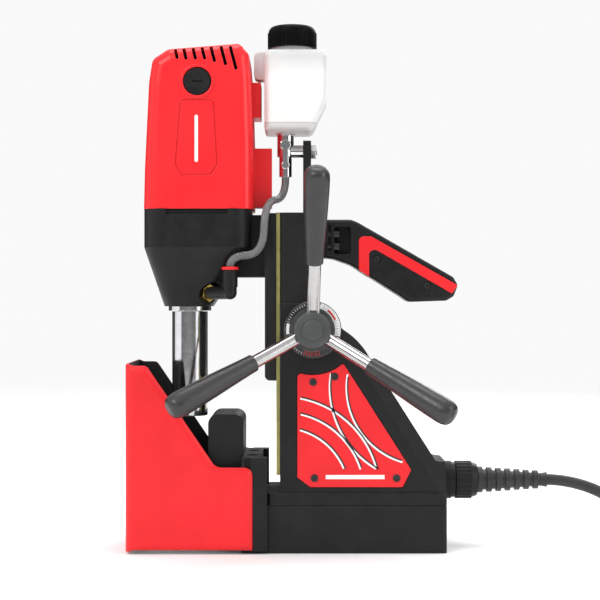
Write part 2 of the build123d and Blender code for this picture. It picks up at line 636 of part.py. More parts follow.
with BuildPart() as tap_lever:
    with BuildSketch(Plane.XZ.offset(0.5)):
        with Locations((TAP_X, 319)):
            Circle(2.5)
    extrude(amount=11)
    with BuildSketch(Plane.XZ.offset(10.4)):
        with Locations((TAP_X, 319)):
            Circle(4.4)
        with Locations((TAP_X, 311)):
            Rectangle(5, 16)
        with Locations((TAP_X, 303)):
            Circle(3.4)
    extrude(amount=2.6)
    fillet(tap_lever.faces().sort_by(Axis.Y)[0].edges(), 0.8)
keep("tap_lever", tap_lever)

with BuildPart() as coolant_tank:
    for inset, mode in ((0, Mode.ADD), (TANK_WALL, Mode.SUBTRACT)):
        with BuildSketch(Plane.XZ):
            with BuildLine():
                FilletPolyline(
                    (TANK_LEFT + inset, TANK_BOTTOM + inset), (-24.5 - inset, TANK_BOTTOM + inset),
                    (TANK_RIGHT - inset, 352), (TANK_RIGHT - inset, TANK_TOP - 3 - inset),
                    (TANK_LEFT + inset, TANK_TOP - 3 - inset), radius=[3, 5, 9, 6, 6], close=True)
            make_face()
        extrude(amount=TANK_HALF - inset, both=True, mode=mode)
        if inset == 0:
            sides = coolant_tank.faces().filter_by(Axis.Y)
            fillet([edge for face in sides for edge in face.edges()], 6)
            # hollow lug towards the motor
            with BuildSketch(Plane.XZ):
                with Locations(((TANK_LEFT - LUG_END) / 2 + 1, 382)):
                    RectangleRounded(TANK_LEFT + LUG_END + 4, 22, 4)
            extrude(amount=9, both=True)
            with BuildSketch(Plane.XY.offset(TANK_TOP - 8)):
                with Locations((CAP_X, 0)):
                    Circle(NECK_RADIUS)
            extrude(amount=17)
    with BuildSketch(Plane.XY.offset(TANK_TOP - 9)):
        with Locations((CAP_X, 0)):
            Circle(NECK_RADIUS - TANK_WALL)
    extrude(amount=19, mode=Mode.SUBTRACT)
    with BuildSketch(Plane.XY.offset(TANK_BOTTOM - 1)):
        with Locations((TAP_X, 0)):
            Circle(5)
    extrude(amount=6, mode=Mode.SUBTRACT)
keep("coolant_tank", coolant_tank)

with BuildPart() as tank_nut:
    with BuildSketch(Plane.XY.offset(TANK_BOTTOM + TANK_WALL)):
        with Locations((TAP_X, 0)):
            RegularPolygon(8, 6)
            Circle(4.94, mode=Mode.SUBTRACT)
    extrude(amount=4)
keep("tank_nut", tank_nut)

with BuildPart() as tank_cap:
    with BuildSketch(Plane.XY.offset(TANK_TOP + 0.4)):
        with Locations((CAP_X, 0)):
            Circle(CAP_RADIUS)
            with PolarLocations(CAP_RADIUS + 0.5, 36):
                Circle(1.1, mode=Mode.SUBTRACT)
    extrude(amount=12)
    with BuildSketch(Plane.XY.offset(TANK_TOP + 12.4)):
        with Locations((CAP_X, 0)):
            Circle(CAP_RADIUS - 0.7)
    extrude(amount=5.5)
    fillet(tank_cap.edges().group_by(Axis.Z)[-1], 5)
    with BuildSketch(Plane.XY.offset(TANK_TOP)):
        with Locations((CAP_X, 0)):
            Circle(NECK_RADIUS + 0.35)
    extrude(amount=13, mode=Mode.SUBTRACT)
keep("tank_cap", tank_cap)

# ---- involute gears ------------------------------------------------------------
BACKLASH = 0.16


def involute(angle):
    return tan(angle) - angle


def gear_profile(teeth, module, phase):
    """Closed outline of an external gear with a tooth centred at the angle `phase`, in radians."""
    pitch = teeth * module / 2
    base, tip, root = pitch * cos(PRESSURE), pitch + 0.9 * module, pitch - 1.15 * module
    half = pi / (2 * teeth) - BACKLASH / (2 * pitch) + involute(PRESSURE)

    def flank(radius, centre, side):
        turn = half - involute(acos(base / max(radius, base)))
        return Vector(radius * cos(centre + side * turn), radius * sin(centre + side * turn))

    start = max(base, root)
    for tooth in range(teeth):
        centre = phase + 2 * pi * tooth / teeth
        following = centre + 2 * pi / teeth
        if root < start:
            Line(flank(root, centre, -1), flank(start, centre, -1))
            Line(flank(start, centre, 1), flank(root, centre, 1))
        ThreePointArc(flank(start, centre, -1), flank((start + tip) / 2, centre, -1), flank(tip, centre, -1))
        Line(flank(tip, centre, -1), flank(tip, centre, 1))
        ThreePointArc(flank(tip, centre, 1), flank((start + tip) / 2, centre, 1), flank(start, centre, 1))
        Line(flank(root, centre, 1), flank(root, following, -1))


def meshing_phase(teeth, driver_teeth, driver_phase, heading):
    """Phase of a gear in mesh with a driver, whose centre lies at `heading` seen from the driver."""
    return heading + pi + pi / teeth - (driver_phase - heading) * driver_teeth / teeth


# ---- spindle train: armature pinion, layshaft cluster and spindle gear ---------
MOTOR_TEETH, LAY_TEETH, LAY_PINION_TEETH, SPINDLE_TEETH = 10, 38, 11, 33
MODULE_ONE, MODULE_TWO = 0.8, 1.0
REACH_ONE = MODULE_ONE * (MOTOR_TEETH + LAY_TEETH) / 2
REACH_TWO = MODULE_TWO * (LAY_PINION_TEETH + SPINDLE_TEETH) / 2
apart = MOTOR_X - SPINDLE_X
LAY_X = SPINDLE_X + (apart**2 + REACH_TWO**2 - REACH_ONE**2) / (2 * apart)
LAY_Y = sqrt(REACH_TWO**2 - (LAY_X - SPINDLE_X) ** 2)
SPINDLE_GEAR_Z, LAY_GEAR_Z, GEAR_WIDTH = 238.0, 249.5, 8.0
LAY_RADIUS, SEAT_RADIUS, GEAR_SEAT = 3.0, 7.5, 6.0
spindle_to_lay = atan2(LAY_Y, LAY_X - SPINDLE_X)
motor_to_lay = atan2(LAY_Y, LAY_X - MOTOR_X)

with BuildPart() as spindle_gear:
    with BuildSketch(Plane.XY.offset(SPINDLE_GEAR_Z)):
        with BuildLine():
            gear_profile(SPINDLE_TEETH, MODULE_TWO, 0)
        make_face()
        Circle(GEAR_SEAT, mode=Mode.SUBTRACT)
    extrude(amount=GEAR_WIDTH)
    with BuildSketch(Plane.XY.offset(SPINDLE_GEAR_Z)):
        Circle(13.5)
        Circle(GEAR_SEAT + 3, mode=Mode.SUBTRACT)
    extrude(amount=1.5, mode=Mode.SUBTRACT)
spindle_gear.part.locate(Location((SPINDLE_X, 0, 0)))
keep("spindle_gear", spindle_gear)

with BuildPart() as layshaft_gears:
    for teeth, module, phase, low, width in (
        (LAY_TEETH, MODULE_ONE, meshing_phase(LAY_TEETH, MOTOR_TEETH, 0, motor_to_lay), LAY_GEAR_Z, 6.0),
        (LAY_PINION_TEETH, MODULE_TWO, meshing_phase(LAY_PINION_TEETH, SPINDLE_TEETH, 0, spindle_to_lay),
         SPINDLE_GEAR_Z, LAY_GEAR_Z - SPINDLE_GEAR_Z),
    ):
        with BuildSketch(Plane.XY.offset(low)):
            with BuildLine():
                gear_profile(teeth, module, phase)
            make_face()
        extrude(amount=width)
    with BuildSketch(Plane.XY.offset(LAY_GEAR_Z + 6)):
        Circle(4.5)
    extrude(amount=1)
    with BuildSketch(Plane.XY.offset(SPINDLE_GEAR_Z - 7)):
        Circle(LAY_RADIUS)
    extrude(amount=CASE_TOP - 1 - SPINDLE_GEAR_Z + 7)
layshaft_gears.part.locate(Location((LAY_X, LAY_Y, 0)))
keep("layshaft_gears", layshaft_gears)

# ---- gearbox casing: rounded box, tapering to the spindle nose -----------------
CASE_X = (CASE_LEFT + CASE_RIGHT) / 2
BEARING_OUT, BEARING_WIDE = 16.0, 9.0
WING_HALF, WING_BOTTOM, WING_TOP = 19.0, 214.0, 263.0
GEAR_FLOOR, PLATE_Z = 234.0, 259.0
NIPPLE_TURN, NIPPLE_Z = -51.0, 201.5
SLIDE_BOLTS = [(side * 11, height) for side in (1, -1) for height in (222, 254)]
nipple_plane = Plane(origin=(SPINDLE_X, 0, NIPPLE_Z), x_dir=(0, 0, 1),
                     z_dir=(cos(radians(NIPPLE_TURN)), sin(radians(NIPPLE_TURN)), 0))

with BuildPart() as gearbox_casing:
    with BuildSketch(Plane.XY.offset(CASE_SHOULDER)):
        with Locations((CASE_X, 0)):
            RectangleRounded(CASE_RIGHT - CASE_LEFT, 2 * CASE_HALF, 14)
    extrude(amount=CASE_TOP - CASE_SHOULDER)
    with BuildSketch(Plane.XY.offset(CASE_SHOULDER)):
        with Locations((CASE_X, 0)):
            RectangleRounded(CASE_RIGHT - CASE_LEFT, 2 * CASE_HALF, 14)
    with BuildSketch(Plane.XY.offset(NOSE_BOTTOM)):
        with Locations((SPINDLE_X - 0.5, 0)):
            RectangleRounded(2 * NOSE_RADIUS, 2 * NOSE_RADIUS + 2, 14)
    loft()
    # mounting wing that bolts on to the feed slide
    with BuildSketch(Plane.XZ):
        with BuildLine():
            Polyline((SPINDLE_X + 20, WING_BOTTOM), (SLIDE_FRONT, WING_BOTTOM), (SLIDE_FRONT, WING_TOP),
                     (SPINDLE_X + 20, WING_TOP), close=True)
        make_face()
    extrude(amount=WING_HALF, both=True)
    # gear chamber and the bore for the spindle's bearings
    with BuildSketch(Plane.XY.offset(GEAR_FLOOR)):
        with Locations((CASE_X, 0)):
            RectangleRounded(CASE_RIGHT - CASE_LEFT - 9, 2 * CASE_HALF - 9, 10)
    extrude(amount=CASE_TOP - GEAR_FLOOR, mode=Mode.SUBTRACT)
    with BuildSketch(Plane.XY.offset(NOSE_BOTTOM - 1)):
        with Locations((SPINDLE_X, 0)):
            Circle(BEARING_OUT)
    extrude(amount=GEAR_FLOOR - NOSE_BOTTOM + 2, mode=Mode.SUBTRACT)
    with BuildSketch(Plane.XY.offset(GEAR_FLOOR - 4)):
        with Locations((LAY_X, LAY_Y)):
            Circle(LAY_RADIUS + 0.05)
    extrude(amount=5, mode=Mode.SUBTRACT)
    with BuildSketch(Plane.YZ.offset(SLIDE_FRONT + 1)):
        with Locations(*SLIDE_BOLTS):
            Circle(3)
    extrude(amount=-16, mode=Mode.SUBTRACT)
    with BuildSketch(Plane.YZ.offset(SLIDE_FRONT - 9)):
        with Locations(*SLIDE_BOLTS):
            Circle(5)
    extrude(amount=-8, mode=Mode.SUBTRACT)
    # slot under the motor housing, flat pocket for the coolant nipple, and its water way
    with Locations((CASE_X, -CASE_HALF, CASE_TOP - 2)):
        Box(48, 7, 5, mode=Mode.SUBTRACT)
    with BuildSketch(nipple_plane.offset(22.5)):
        Circle(8.5)
    extrude(amount=25, mode=Mode.SUBTRACT)
    with BuildSketch(nipple_plane.offset(BEARING_OUT - 2)):
        Circle(3.6)
    extrude(amount=12, mode=Mode.SUBTRACT)
keep("gearbox_casing", gearbox_casing)

with BuildPart() as bearing_plate:
    with BuildSketch(Plane.XY.offset(PLATE_Z)):
        with Locations((CASE_X, 0)):
            RectangleRounded(CASE_RIGHT - CASE_LEFT - 9, 2 * CASE_HALF - 9, 10)
        with Locations((LAY_X, LAY_Y)):
            Circle(LAY_RADIUS + 0.05, mode=Mode.SUBTRACT)
        with Locations((MOTOR_X, 0)):
            Circle(11, mode=Mode.SUBTRACT)
    extrude(amount=CASE_TOP - PLATE_Z)
keep("bearing_plate", bearing_plate)

# ---- arbor with its bore, screws, seal, bearings ---------------------------------
with BuildPart() as arbor:
    with BuildSketch(Plane.XZ):
        with BuildLine():
            Polyline((0, ARBOR_BOTTOM), (ARBOR_RADIUS - 0.6, ARBOR_BOTTOM),
                     (ARBOR_RADIUS, ARBOR_BOTTOM + 0.6),
                     (ARBOR_RADIUS, ARBOR_TOP), (SEAT_RADIUS + 2, ARBOR_TOP), (SEAT_RADIUS + 2, 192.9),
                     (SEAT_RADIUS, 192.9), (SEAT_RADIUS, SPINDLE_GEAR_Z), (GEAR_SEAT, SPINDLE_GEAR_Z),
                     (GEAR_SEAT, SPINDLE_GEAR_Z + GEAR_WIDTH + 2),
                     (0, SPINDLE_GEAR_Z + GEAR_WIDTH + 2), close=True)
        make_face()
    revolve(axis=Axis.Z)
    with Locations((0, 0, ARBOR_BOTTOM)):
        Cylinder(BORE_RADIUS, BORE_DEPTH, align=(Align.CENTER, Align.CENTER, Align.MIN), mode=Mode.SUBTRACT)
        Cylinder(4, BORE_DEPTH + 6, align=(Align.CENTER, Align.CENTER, Align.MIN), mode=Mode.SUBTRACT)
    # threaded holes for the two screws that hold a cutter's shank
    for turn in (0, 90):
        with BuildSketch(Plane(origin=(0, 0, 128), z_dir=(cos(radians(turn)), sin(radians(turn)), 0))):
            Circle(4)
        extrude(amount=ARBOR_RADIUS + 1, mode=Mode.SUBTRACT)
arbor.part.locate(Location((SPINDLE_X, 0, 0)))
keep("arbor", arbor)

with BuildPart() as arbor_screws:
    for turn in (0, 90):
        screw_plane = Plane(origin=(0, 0, 128), z_dir=(cos(radians(turn)), sin(radians(turn)), 0))
        with BuildSketch(screw_plane.offset(BORE_RADIUS + 0.4)):
            Circle(3.95)
        extrude(amount=ARBOR_RADIUS - BORE_RADIUS + 0.6)
        with BuildSketch(screw_plane.offset(ARBOR_RADIUS + 1)):
            RegularPolygon(2.3, 6)
        extrude(amount=-3, mode=Mode.SUBTRACT)
arbor_screws.part.locate(Location((SPINDLE_X, 0, 0)))
keep("arbor_screws", arbor_screws)


SHAFT_GAP = 0.03


def ball_bearing(name, x, y, low, inner, outer, wide, balls):
    """Inner and outer rings with a ring of balls, as one node of separate solids."""
    ball = 0.27 * (outer - inner)
    middle = (inner + outer) / 2
    race = 0.12 * (outer - inner)
    with BuildPart() as bearing:
        for near, far in ((inner, middle - race), (middle + race, outer)):
            with BuildSketch(Plane.XY.offset(low)):
                Circle(far)
                Circle(near, mode=Mode.SUBTRACT)
            extrude(amount=wide)
        with BuildSketch(Plane.XZ):
            with Locations((middle, low + wide / 2)):
                Circle(ball + 0.02)
        revolve(axis=Axis.Z, mode=Mode.SUBTRACT)
        with Locations((0, 0, low + wide / 2)):
            with PolarLocations(middle, balls):
                Sphere(ball)
    bearing.part.locate(Location((x, y, 0)))
    keep(name, bearing)


for end, height in (("lower", 193.0), ("upper", 224.0)):
    ball_bearing("spindle_bearing_" + end, SPINDLE_X, 0, height, SEAT_RADIUS + SHAFT_GAP, BEARING_OUT,
                 BEARING_WIDE, 9)

with BuildPart() as spindle_seal:
    with BuildSketch(Plane.XY.offset(NOSE_BOTTOM - 3.5)):
        Circle(17)
        Circle(SEAT_RADIUS + 2.1, mode=Mode.SUBTRACT)
    extrude(amount=3.5)
    with BuildSketch(Plane.XY.offset(NOSE_BOTTOM)):
        Circle(BEARING_OUT)
        Circle(SEAT_RADIUS + 2.1, mode=Mode.SUBTRACT)
    extrude(amount=2)
spindle_seal.part.locate(Location((SPINDLE_X, 0, 0)))
keep("spindle_seal", spindle_seal)

# ---- feed slide with its dovetail tongue, and the rack behind it -----------------
with BuildPart() as feed_slide:
    with BuildSketch(Plane.XY.offset(SLIDE_BOTTOM)):
        with Locations(((SLIDE_FRONT + COLUMN_FRONT - STRIP - 0.2) / 2, 0)):
            Rectangle(COLUMN_FRONT - STRIP - 0.2 - SLIDE_FRONT, 2 * SLIDE_HALF)
        with BuildLine():
            Polyline((SLIDE_FRONT + 4, -DOVETAIL_FRONT), (COLUMN_FRONT, -DOVETAIL_FRONT),
                     (TONGUE_BACK, -DOVETAIL_BACK), (TONGUE_BACK, DOVETAIL_BACK),
                     (COLUMN_FRONT, DOVETAIL_FRONT),
                     (SLIDE_FRONT + 4, DOVETAIL_FRONT), close=True)
        make_face()
    extrude(amount=COLUMN_TOP - SLIDE_BOTTOM)
    fillet(feed_slide.edges().filter_by(Axis.Y).group_by(Axis.X)[0].group_by(Axis.Z)[0], 4)
    with BuildSketch(Plane.YZ.offset(SLIDE_FRONT)):
        with Locations(*SLIDE_BOLTS):
            Circle(3.1)
    extrude(amount=14, mode=Mode.SUBTRACT)
    RACK_BOLTS = [(0, 170), (0, 205), (0, 240)]
    with BuildSketch(Plane.YZ.offset(TONGUE_BACK)):
        with Locations(*RACK_BOLTS):
            Circle(2.1)
    extrude(amount=-10, mode=Mode.SUBTRACT)
keep("feed_slide", feed_slide)

PINION_RADIUS = PINION_TEETH * PINION_MODULE / 2
PITCH_LINE = PINION_X - PINION_RADIUS
RACK_PITCH = pi * PINION_MODULE
RACK_TIP, RACK_ROOT, RACK_HALF = PITCH_LINE + 0.9 * PINION_MODULE, PITCH_LINE - 1.15 * PINION_MODULE, 8.0

with BuildPart() as feed_rack:
    with BuildSketch(Plane.XZ):
        with BuildLine():
            points = [(TONGUE_BACK, 158.0), (RACK_ROOT, 158.0)]
            for tooth in range(-2, 19):
                middle = PINION_Z + (tooth + 0.5) * RACK_PITCH
                for level, sign in ((RACK_ROOT, -1), (RACK_TIP, -1), (RACK_TIP, 1), (RACK_ROOT, 1)):
                    half = RACK_PITCH / 4 - BACKLASH / 2 - (level - PITCH_LINE) * tan(PRESSURE)
                    points.append((level, middle + sign * half))
            points += [(RACK_ROOT, 263.5), (TONGUE_BACK, 263.5)]
            Polyline(*points, close=True)
        make_face()
    extrude(amount=RACK_HALF, both=True)
    with BuildSketch(Plane.YZ.offset(TONGUE_BACK)):
        with Locations(*RACK_BOLTS):
            Circle(2.1)
    extrude(amount=3, mode=Mode.SUBTRACT)
keep("feed_rack", feed_rack)

with BuildPart() as rack_screws:
    with BuildSketch(Plane.YZ.offset(TONGUE_BACK + 2.8)):
        with Locations(*RACK_BOLTS):
            Circle(2.05)
    extrude(amount=-11.5)
keep("rack_screws", rack_screws)

with BuildPart() as slide_bolts:
    with BuildSketch(Plane.YZ.offset(SLIDE_FRONT - 9)):
        with Locations(*SLIDE_BOLTS):
            Circle(3)
    extrude(amount=21)
    with BuildSketch(Plane.YZ.offset(SLIDE_FRONT - 14)):
        with Locations(*SLIDE_BOLTS):
            Circle(4.8)
    extrude(amount=5)
keep("slide_bolts", slide_bolts)

# ---- coolant nipple, elbow and collet ring on the nose ------------------------
ELBOW_REACH, ELBOW_TOP = 53.8, 219.0
with BuildPart() as brass_nipple:
    with BuildSketch(nipple_plane.offset(BEARING_OUT + 0.5)):
        Circle(3.55)
    extrude(amount=20.5)
    with BuildSketch(nipple_plane.offset(22.5)):
        RegularPolygon(7, 6)
    extrude(amount=5)
    with BuildSketch(nipple_plane.offset(BEARING_OUT)):
        Circle(1.6)
    extrude(amount=25, mode=Mode.SUBTRACT)
keep("brass_nipple", brass_nipple)

elbow_x = SPINDLE_X + ELBOW_REACH * cos(radians(NIPPLE_TURN))
elbow_y = ELBOW_REACH * sin(radians(NIPPLE_TURN))
with BuildPart() as elbow_fitting:
    with BuildSketch(nipple_plane.offset(27.7)):
        Circle(5)
    extrude(amount=ELBOW_REACH - 27.7)
    with Locations((elbow_x, elbow_y, NIPPLE_Z)):
        Sphere(5.2)
    with BuildSketch(Plane.XY.offset(NIPPLE_Z)):
        with Locations((elbow_x, elbow_y)):
            Circle(5.2)
    extrude(amount=ELBOW_TOP - NIPPLE_Z - 12)
    with BuildSketch(Plane.XY.offset(ELBOW_TOP - 13)):
        with Locations((elbow_x, elbow_y)):
            Circle(5.9)
    extrude(amount=13)
    with BuildSketch(nipple_plane.offset(27)):
        Circle(3.6)
    extrude(amount=10.2, mode=Mode.SUBTRACT)
    with BuildSketch(nipple_plane.offset(30)):
        Circle(1.6)
    extrude(amount=ELBOW_REACH - 30, mode=Mode.SUBTRACT)
    with BuildSketch(Plane.XY.offset(NIPPLE_Z)):
        with Locations((elbow_x, elbow_y)):
            Circle(1.6)
    extrude(amount=20, mode=Mode.SUBTRACT)
    with BuildSketch(Plane.XY.offset(ELBOW_TOP - 8)):
        with Locations((elbow_x, elbow_y)):
            Circle(4.2)
    extrude(amount=9, mode=Mode.SUBTRACT)
keep("elbow_fitting", elbow_fitting)

HOSE_RADIUS = 3.0
with BuildPart() as collet_ring:
    with BuildSketch(Plane.XY.offset(ELBOW_TOP - 5)):
        with Locations((elbow_x, elbow_y)):
            Circle(4.1)
    extrude(amount=5.3)
    with BuildSketch(Plane.XY.offset(ELBOW_TOP + 0.3)):
        with Locations((elbow_x, elbow_y)):
            Circle(6.6)
    extrude(amount=2.4)
    fillet(collet_ring.edges().group_by(Axis.Z)[-1], 0.8)
    with BuildSketch(Plane.XY.offset(ELBOW_TOP - 6)):
        with Locations((elbow_x, elbow_y)):
            Circle(HOSE_RADIUS + 0.05)
    extrude(amount=10, mode=Mode.SUBTRACT)
keep("collet_ring", collet_ring)

# ---- motor housing: a tapered, rounded red shell ---------------------------------
BRUSH_X, BRUSH_Z, BRUSH_BOSS = -113.8, 365.8, 13.2
VENTS = [(-131.0, 390.5, 6.5), (-124.4, 391, 7.5), (-117.2, 391.5, 8), (-110.2, 392, 8.5),
         (-103.2, 392.5, 11),
         (-95.4, 393, 14), (-88.2, 393, 17.5)]
VENT_LEAN = 15
BLOCKS = [(-75.0, -56.5, 269.3, 316.5, 7.5), (-76.0, -65.0, 340.0, 367.7, 16.0)]


def housing_side(inset):
    """Outline of the motor housing seen from the side, drawn inwards by `inset`."""
    FilletPolyline(
        (CASE_LEFT + inset, CASE_TOP), (CASE_LEFT + 0.8 + inset, 300), (-152.0 + inset, 366),
        (-149.2 + inset, 384 - inset / 3), (-137 + inset / 2, MOTOR_TOP - 4.5 - inset),
        (-80.5 - inset / 2, MOTOR_TOP - inset), (-73.8 - inset, 388 - inset / 2), (-72.0 - inset, 367),
        (CASE_RIGHT + 2 - inset, 316), (CASE_RIGHT + 2 - inset, CASE_TOP),
        radius=[0, 20, 20, 7, 9, 6, 7, 20, 20, 0], close=True)


with BuildPart() as motor_housing:
    with BuildSketch(Plane.XZ):
        with BuildLine():
            housing_side(0)
        make_face()
    extrude(amount=MOTOR_HALF, both=True)
    rims = [edge for face in motor_housing.faces().filter_by(Axis.Y) for edge in face.edges()
            if edge.center().Z > CASE_TOP + 1]
    fillet(rims, 10)
    # set-back blocks towards the column
    for left, right, low, high, half in BLOCKS:
        with Locations(((left + right) / 2, 0, (low + high) / 2)):
            Box(right - left, 2 * half, high - low)
    # raised rims round the brush caps
    for side in (1, -1):
        with BuildSketch(Plane.XZ.offset(side * (MOTOR_HALF - 4))):
            with Locations((BRUSH_X, BRUSH_Z)):
                Circle(BRUSH_BOSS)
        extrude(amount=side * 5.5)
    with BuildSketch(Plane.XZ):
        with BuildLine():
            housing_side(SHELL)
        make_face()
    extrude(amount=MOTOR_HALF - SHELL, both=True, mode=Mode.SUBTRACT)
    with Locations((CASE_X + 1, 0, CASE_TOP)):
        Box(CASE_RIGHT - CASE_LEFT - 2 * SHELL - 1, 2 * (MOTOR_HALF - SHELL - 6), 8, mode=Mode.SUBTRACT)
    # seat for the armature's upper bearing
    with BuildSketch(Plane.XY.offset(379)):
        with Locations((MOTOR_X, 0)):
            Circle(14)
            Circle(11, mode=Mode.SUBTRACT)
    extrude(amount=15.5)
    # cooling slots, slanting, on both sides
    for side in (1, -1):
        with BuildSketch(Plane.XZ.offset(side * (MOTOR_HALF - SHELL - 8))):
            for x, top, long in VENTS:
                with Locations((x + 0.5 * long * sin(radians(VENT_LEAN)), top - 0.5 * long)):
                    SlotOverall(long + 2, 2.4, rotation=90 + VENT_LEAN)
        extrude(amount=side * 16, mode=Mode.SUBTRACT)
        with BuildSketch(Plane.XZ.offset(side * (MOTOR_HALF + 2))):
            with Locations((BRUSH_X, BRUSH_Z)):
                Circle(11.1)
        extrude(amount=-side * 12, mode=Mode.SUBTRACT)
        # shallow groove that outlines a raised panel
        with BuildSketch(Plane.XZ.offset(side * MOTOR_HALF)):
            with BuildLine():
                FilletPolyline((-127.2, 352), (-131.3, 301), (-126, 292.9), (-103, 292.9), (-97.8, 301),
                               (-100.6, 352),
                               radius=[4, 6, 4, 4, 6, 4], close=True)
            make_face()
            with BuildLine():
                FilletPolyline((-126.2, 351), (-130.2, 301.2), (-125.4, 294), (-103.6, 294), (-98.9, 301.2),
                               (-101.6, 351), radius=[3, 6, 3, 3, 6, 3], close=True)
            make_face(mode=Mode.SUBTRACT)
        extrude(amount=-side * 0.8, mode=Mode.SUBTRACT)
keep("motor_housing", motor_housing)

with BuildPart() as brush_caps:
    for side in (1, -1):
        with BuildSketch(Plane.XZ.offset(side * (MOTOR_HALF - 6))):
            with Locations((BRUSH_X, BRUSH_Z)):
                Circle(10.9)
        extrude(amount=side * 6.6)
    fillet(brush_caps.edges().filter_by(GeomType.CIRCLE).group_by(Axis.Y)[0]
           + brush_caps.edges().filter_by(GeomType.CIRCLE).group_by(Axis.Y)[-1], 1.2)
    for side in (1, -1):
        with BuildSketch(Plane.XZ.offset(side * (MOTOR_HALF + 0.6))):
            with Locations((BRUSH_X, BRUSH_Z)):
                RectangleRounded(8.5, 1.8, 0.6)
        extrude(amount=-side * 1.6, mode=Mode.SUBTRACT)
keep("brush_caps", brush_caps)

# ---- motor insides ------------------------------------------------------------------
STACK_LOW, STACK_HIGH = 296.0, 342.0
ARMATURE_RADIUS, STATOR_RADIUS, GAP = 19.0, 34.0, 0.6
COMMUTATOR = (354.0, 372.0, 11.5)

with BuildPart() as field_stator:
    with BuildSketch(Plane.XY.offset(STACK_LOW)):
        Circle(STATOR_RADIUS)
        Rectangle(2 * STATOR_RADIUS, 2 * STATOR_RADIUS - 12, mode=Mode.INTERSECT)
        Circle(ARMATURE_RADIUS + GAP, mode=Mode.SUBTRACT)
        with Locations((0, 18), (0, -18)):
            RectangleRounded(30, 12, 2, mode=Mode.SUBTRACT)
    extrude(amount=STACK_HIGH - STACK_LOW)
field_stator.part.locate(Location((MOTOR_X, 0, 0)))
keep("field_stator", field_stator)

with BuildPart() as field_windings:
    for side in (1, -1):
        with BuildSketch(Plane.XY.offset(STACK_LOW - 7)):
            with Locations((0, side * 21.7)):
                RectangleRounded(27, 3.6, 1.5)
        extrude(amount=STACK_HIGH - STACK_LOW + 14)
field_windings.part.locate(Location((MOTOR_X, 0, 0)))
keep("field_windings", field_windings)

with BuildPart() as armature:
    with BuildSketch(Plane.XY.offset(STACK_LOW)):
        Circle(ARMATURE_RADIUS)
        with PolarLocations(ARMATURE_RADIUS - 3.5, 12):
            SlotOverall(6, 2.2, mode=Mode.SUBTRACT)
    extrude(amount=STACK_HIGH - STACK_LOW)
    for radius, low, high in ((4.0, 258.8, 286), (5.0, 286, STACK_LOW), (5.0, STACK_HIGH, COMMUTATOR[1]),
                              (4.0, COMMUTATOR[1], 388.5)):
        with BuildSketch(Plane.XY.offset(low)):
            Circle(radius)
        extrude(amount=high - low)
    with BuildSketch(Plane.XY.offset(LAY_GEAR_Z + 0.5)):
        with BuildLine():
            gear_profile(MOTOR_TEETH, MODULE_ONE, 0)
        make_face()
    extrude(amount=258.8 - LAY_GEAR_Z - 0.5)
armature.part.locate(Location((MOTOR_X, 0, 0)))
keep("armature", armature)

with BuildPart() as commutator:
    with BuildSketch(Plane.XY.offset(COMMUTATOR[0])):
        Circle(COMMUTATOR[2])
        Circle(5, mode=Mode.SUBTRACT)
        with PolarLocations(COMMUTATOR[2], 24):
            Rectangle(3, 0.5, mode=Mode.SUBTRACT)
    extrude(amount=COMMUTATOR[1] - COMMUTATOR[0])
commutator.part.locate(Location((MOTOR_X, 0, 0)))
keep("commutator", commutator)

with BuildPart() as cooling_fan:
    with BuildSketch(Plane.XY.offset(276)):
        Circle(29)
        Circle(4, mode=Mode.SUBTRACT)
    extrude(amount=1.6)
    with BuildSketch(Plane.XY.offset(277)):
        Circle(8)
        Circle(4, mode=Mode.SUBTRACT)
        with PolarLocations(18, 14):
            Rectangle(19, 1.4, rotation=25)
    extrude(amount=8)
cooling_fan.part.locate(Location((MOTOR_X, 0, 0)))
keep("cooling_fan", cooling_fan)

ball_bearing("armature_bearing_lower", MOTOR_X, 0, 260.0, 4.0 + SHAFT_GAP, 11.0, 7.0, 7)
ball_bearing("armature_bearing_upper", MOTOR_X, 0, 381.0, 4.0 + SHAFT_GAP, 11.0, 7.0, 7)

with BuildPart() as brush_holders:
    for side in (1, -1):
        with BuildSketch(Plane.XZ.offset(side * 15)):
            with Locations((MOTOR_X, 363)):
                Rectangle(12, 11)
                Rectangle(6.4, 6.4, mode=Mode.SUBTRACT)
        extrude(amount=side * (MOTOR_HALF - SHELL - 4 - 15))
keep("brush_holders", brush_holders)

with BuildPart() as carbon_brushes:
    for side in (1, -1):
        with BuildSketch(Plane.XZ.offset(side * (COMMUTATOR[2] + 0.05))):
            with Locations((MOTOR_X, 363)):
                Rectangle(6.2, 6.2)
        extrude(amount=side * 14)
keep("carbon_brushes", carbon_brushes)

# ---- coolant hose: tap, down in front of the slide, round to the elbow ---------
HOSE_ROUTE = [(elbow_x, elbow_y, ELBOW_TOP + 2.7), (elbow_x, elbow_y, 230.0), (-62.5, -37.2, 231.5),
              (-61.3, -35.6, 273.0), (TAP_X, 0, 277.0), (TAP_X, 0, TAP_BOTTOM)]
HOSE_ARCS = [4.8, 12.5, 11.0, 7.5]


def cord_tube(route, arcs, radius):
    """A round tube along straight runs joined by tangent arcs."""
    with BuildPart() as tube:
        with BuildLine() as path:
            FilletPolyline(*route, radius=arcs)
        wire = path.wire()
        with BuildSketch(Plane(origin=wire @ 0, z_dir=wire % 0)):
            Circle(radius)
        sweep(path=wire)
    print("tube", round(wire.length, 1), "mm, volume over section times length",
          round(tube.part.volume / (pi * radius**2 * wire.length), 4), "radii", arcs)
    return tube


keep("coolant_hose", cord_tube(HOSE_ROUTE, HOSE_ARCS, HOSE_RADIUS))

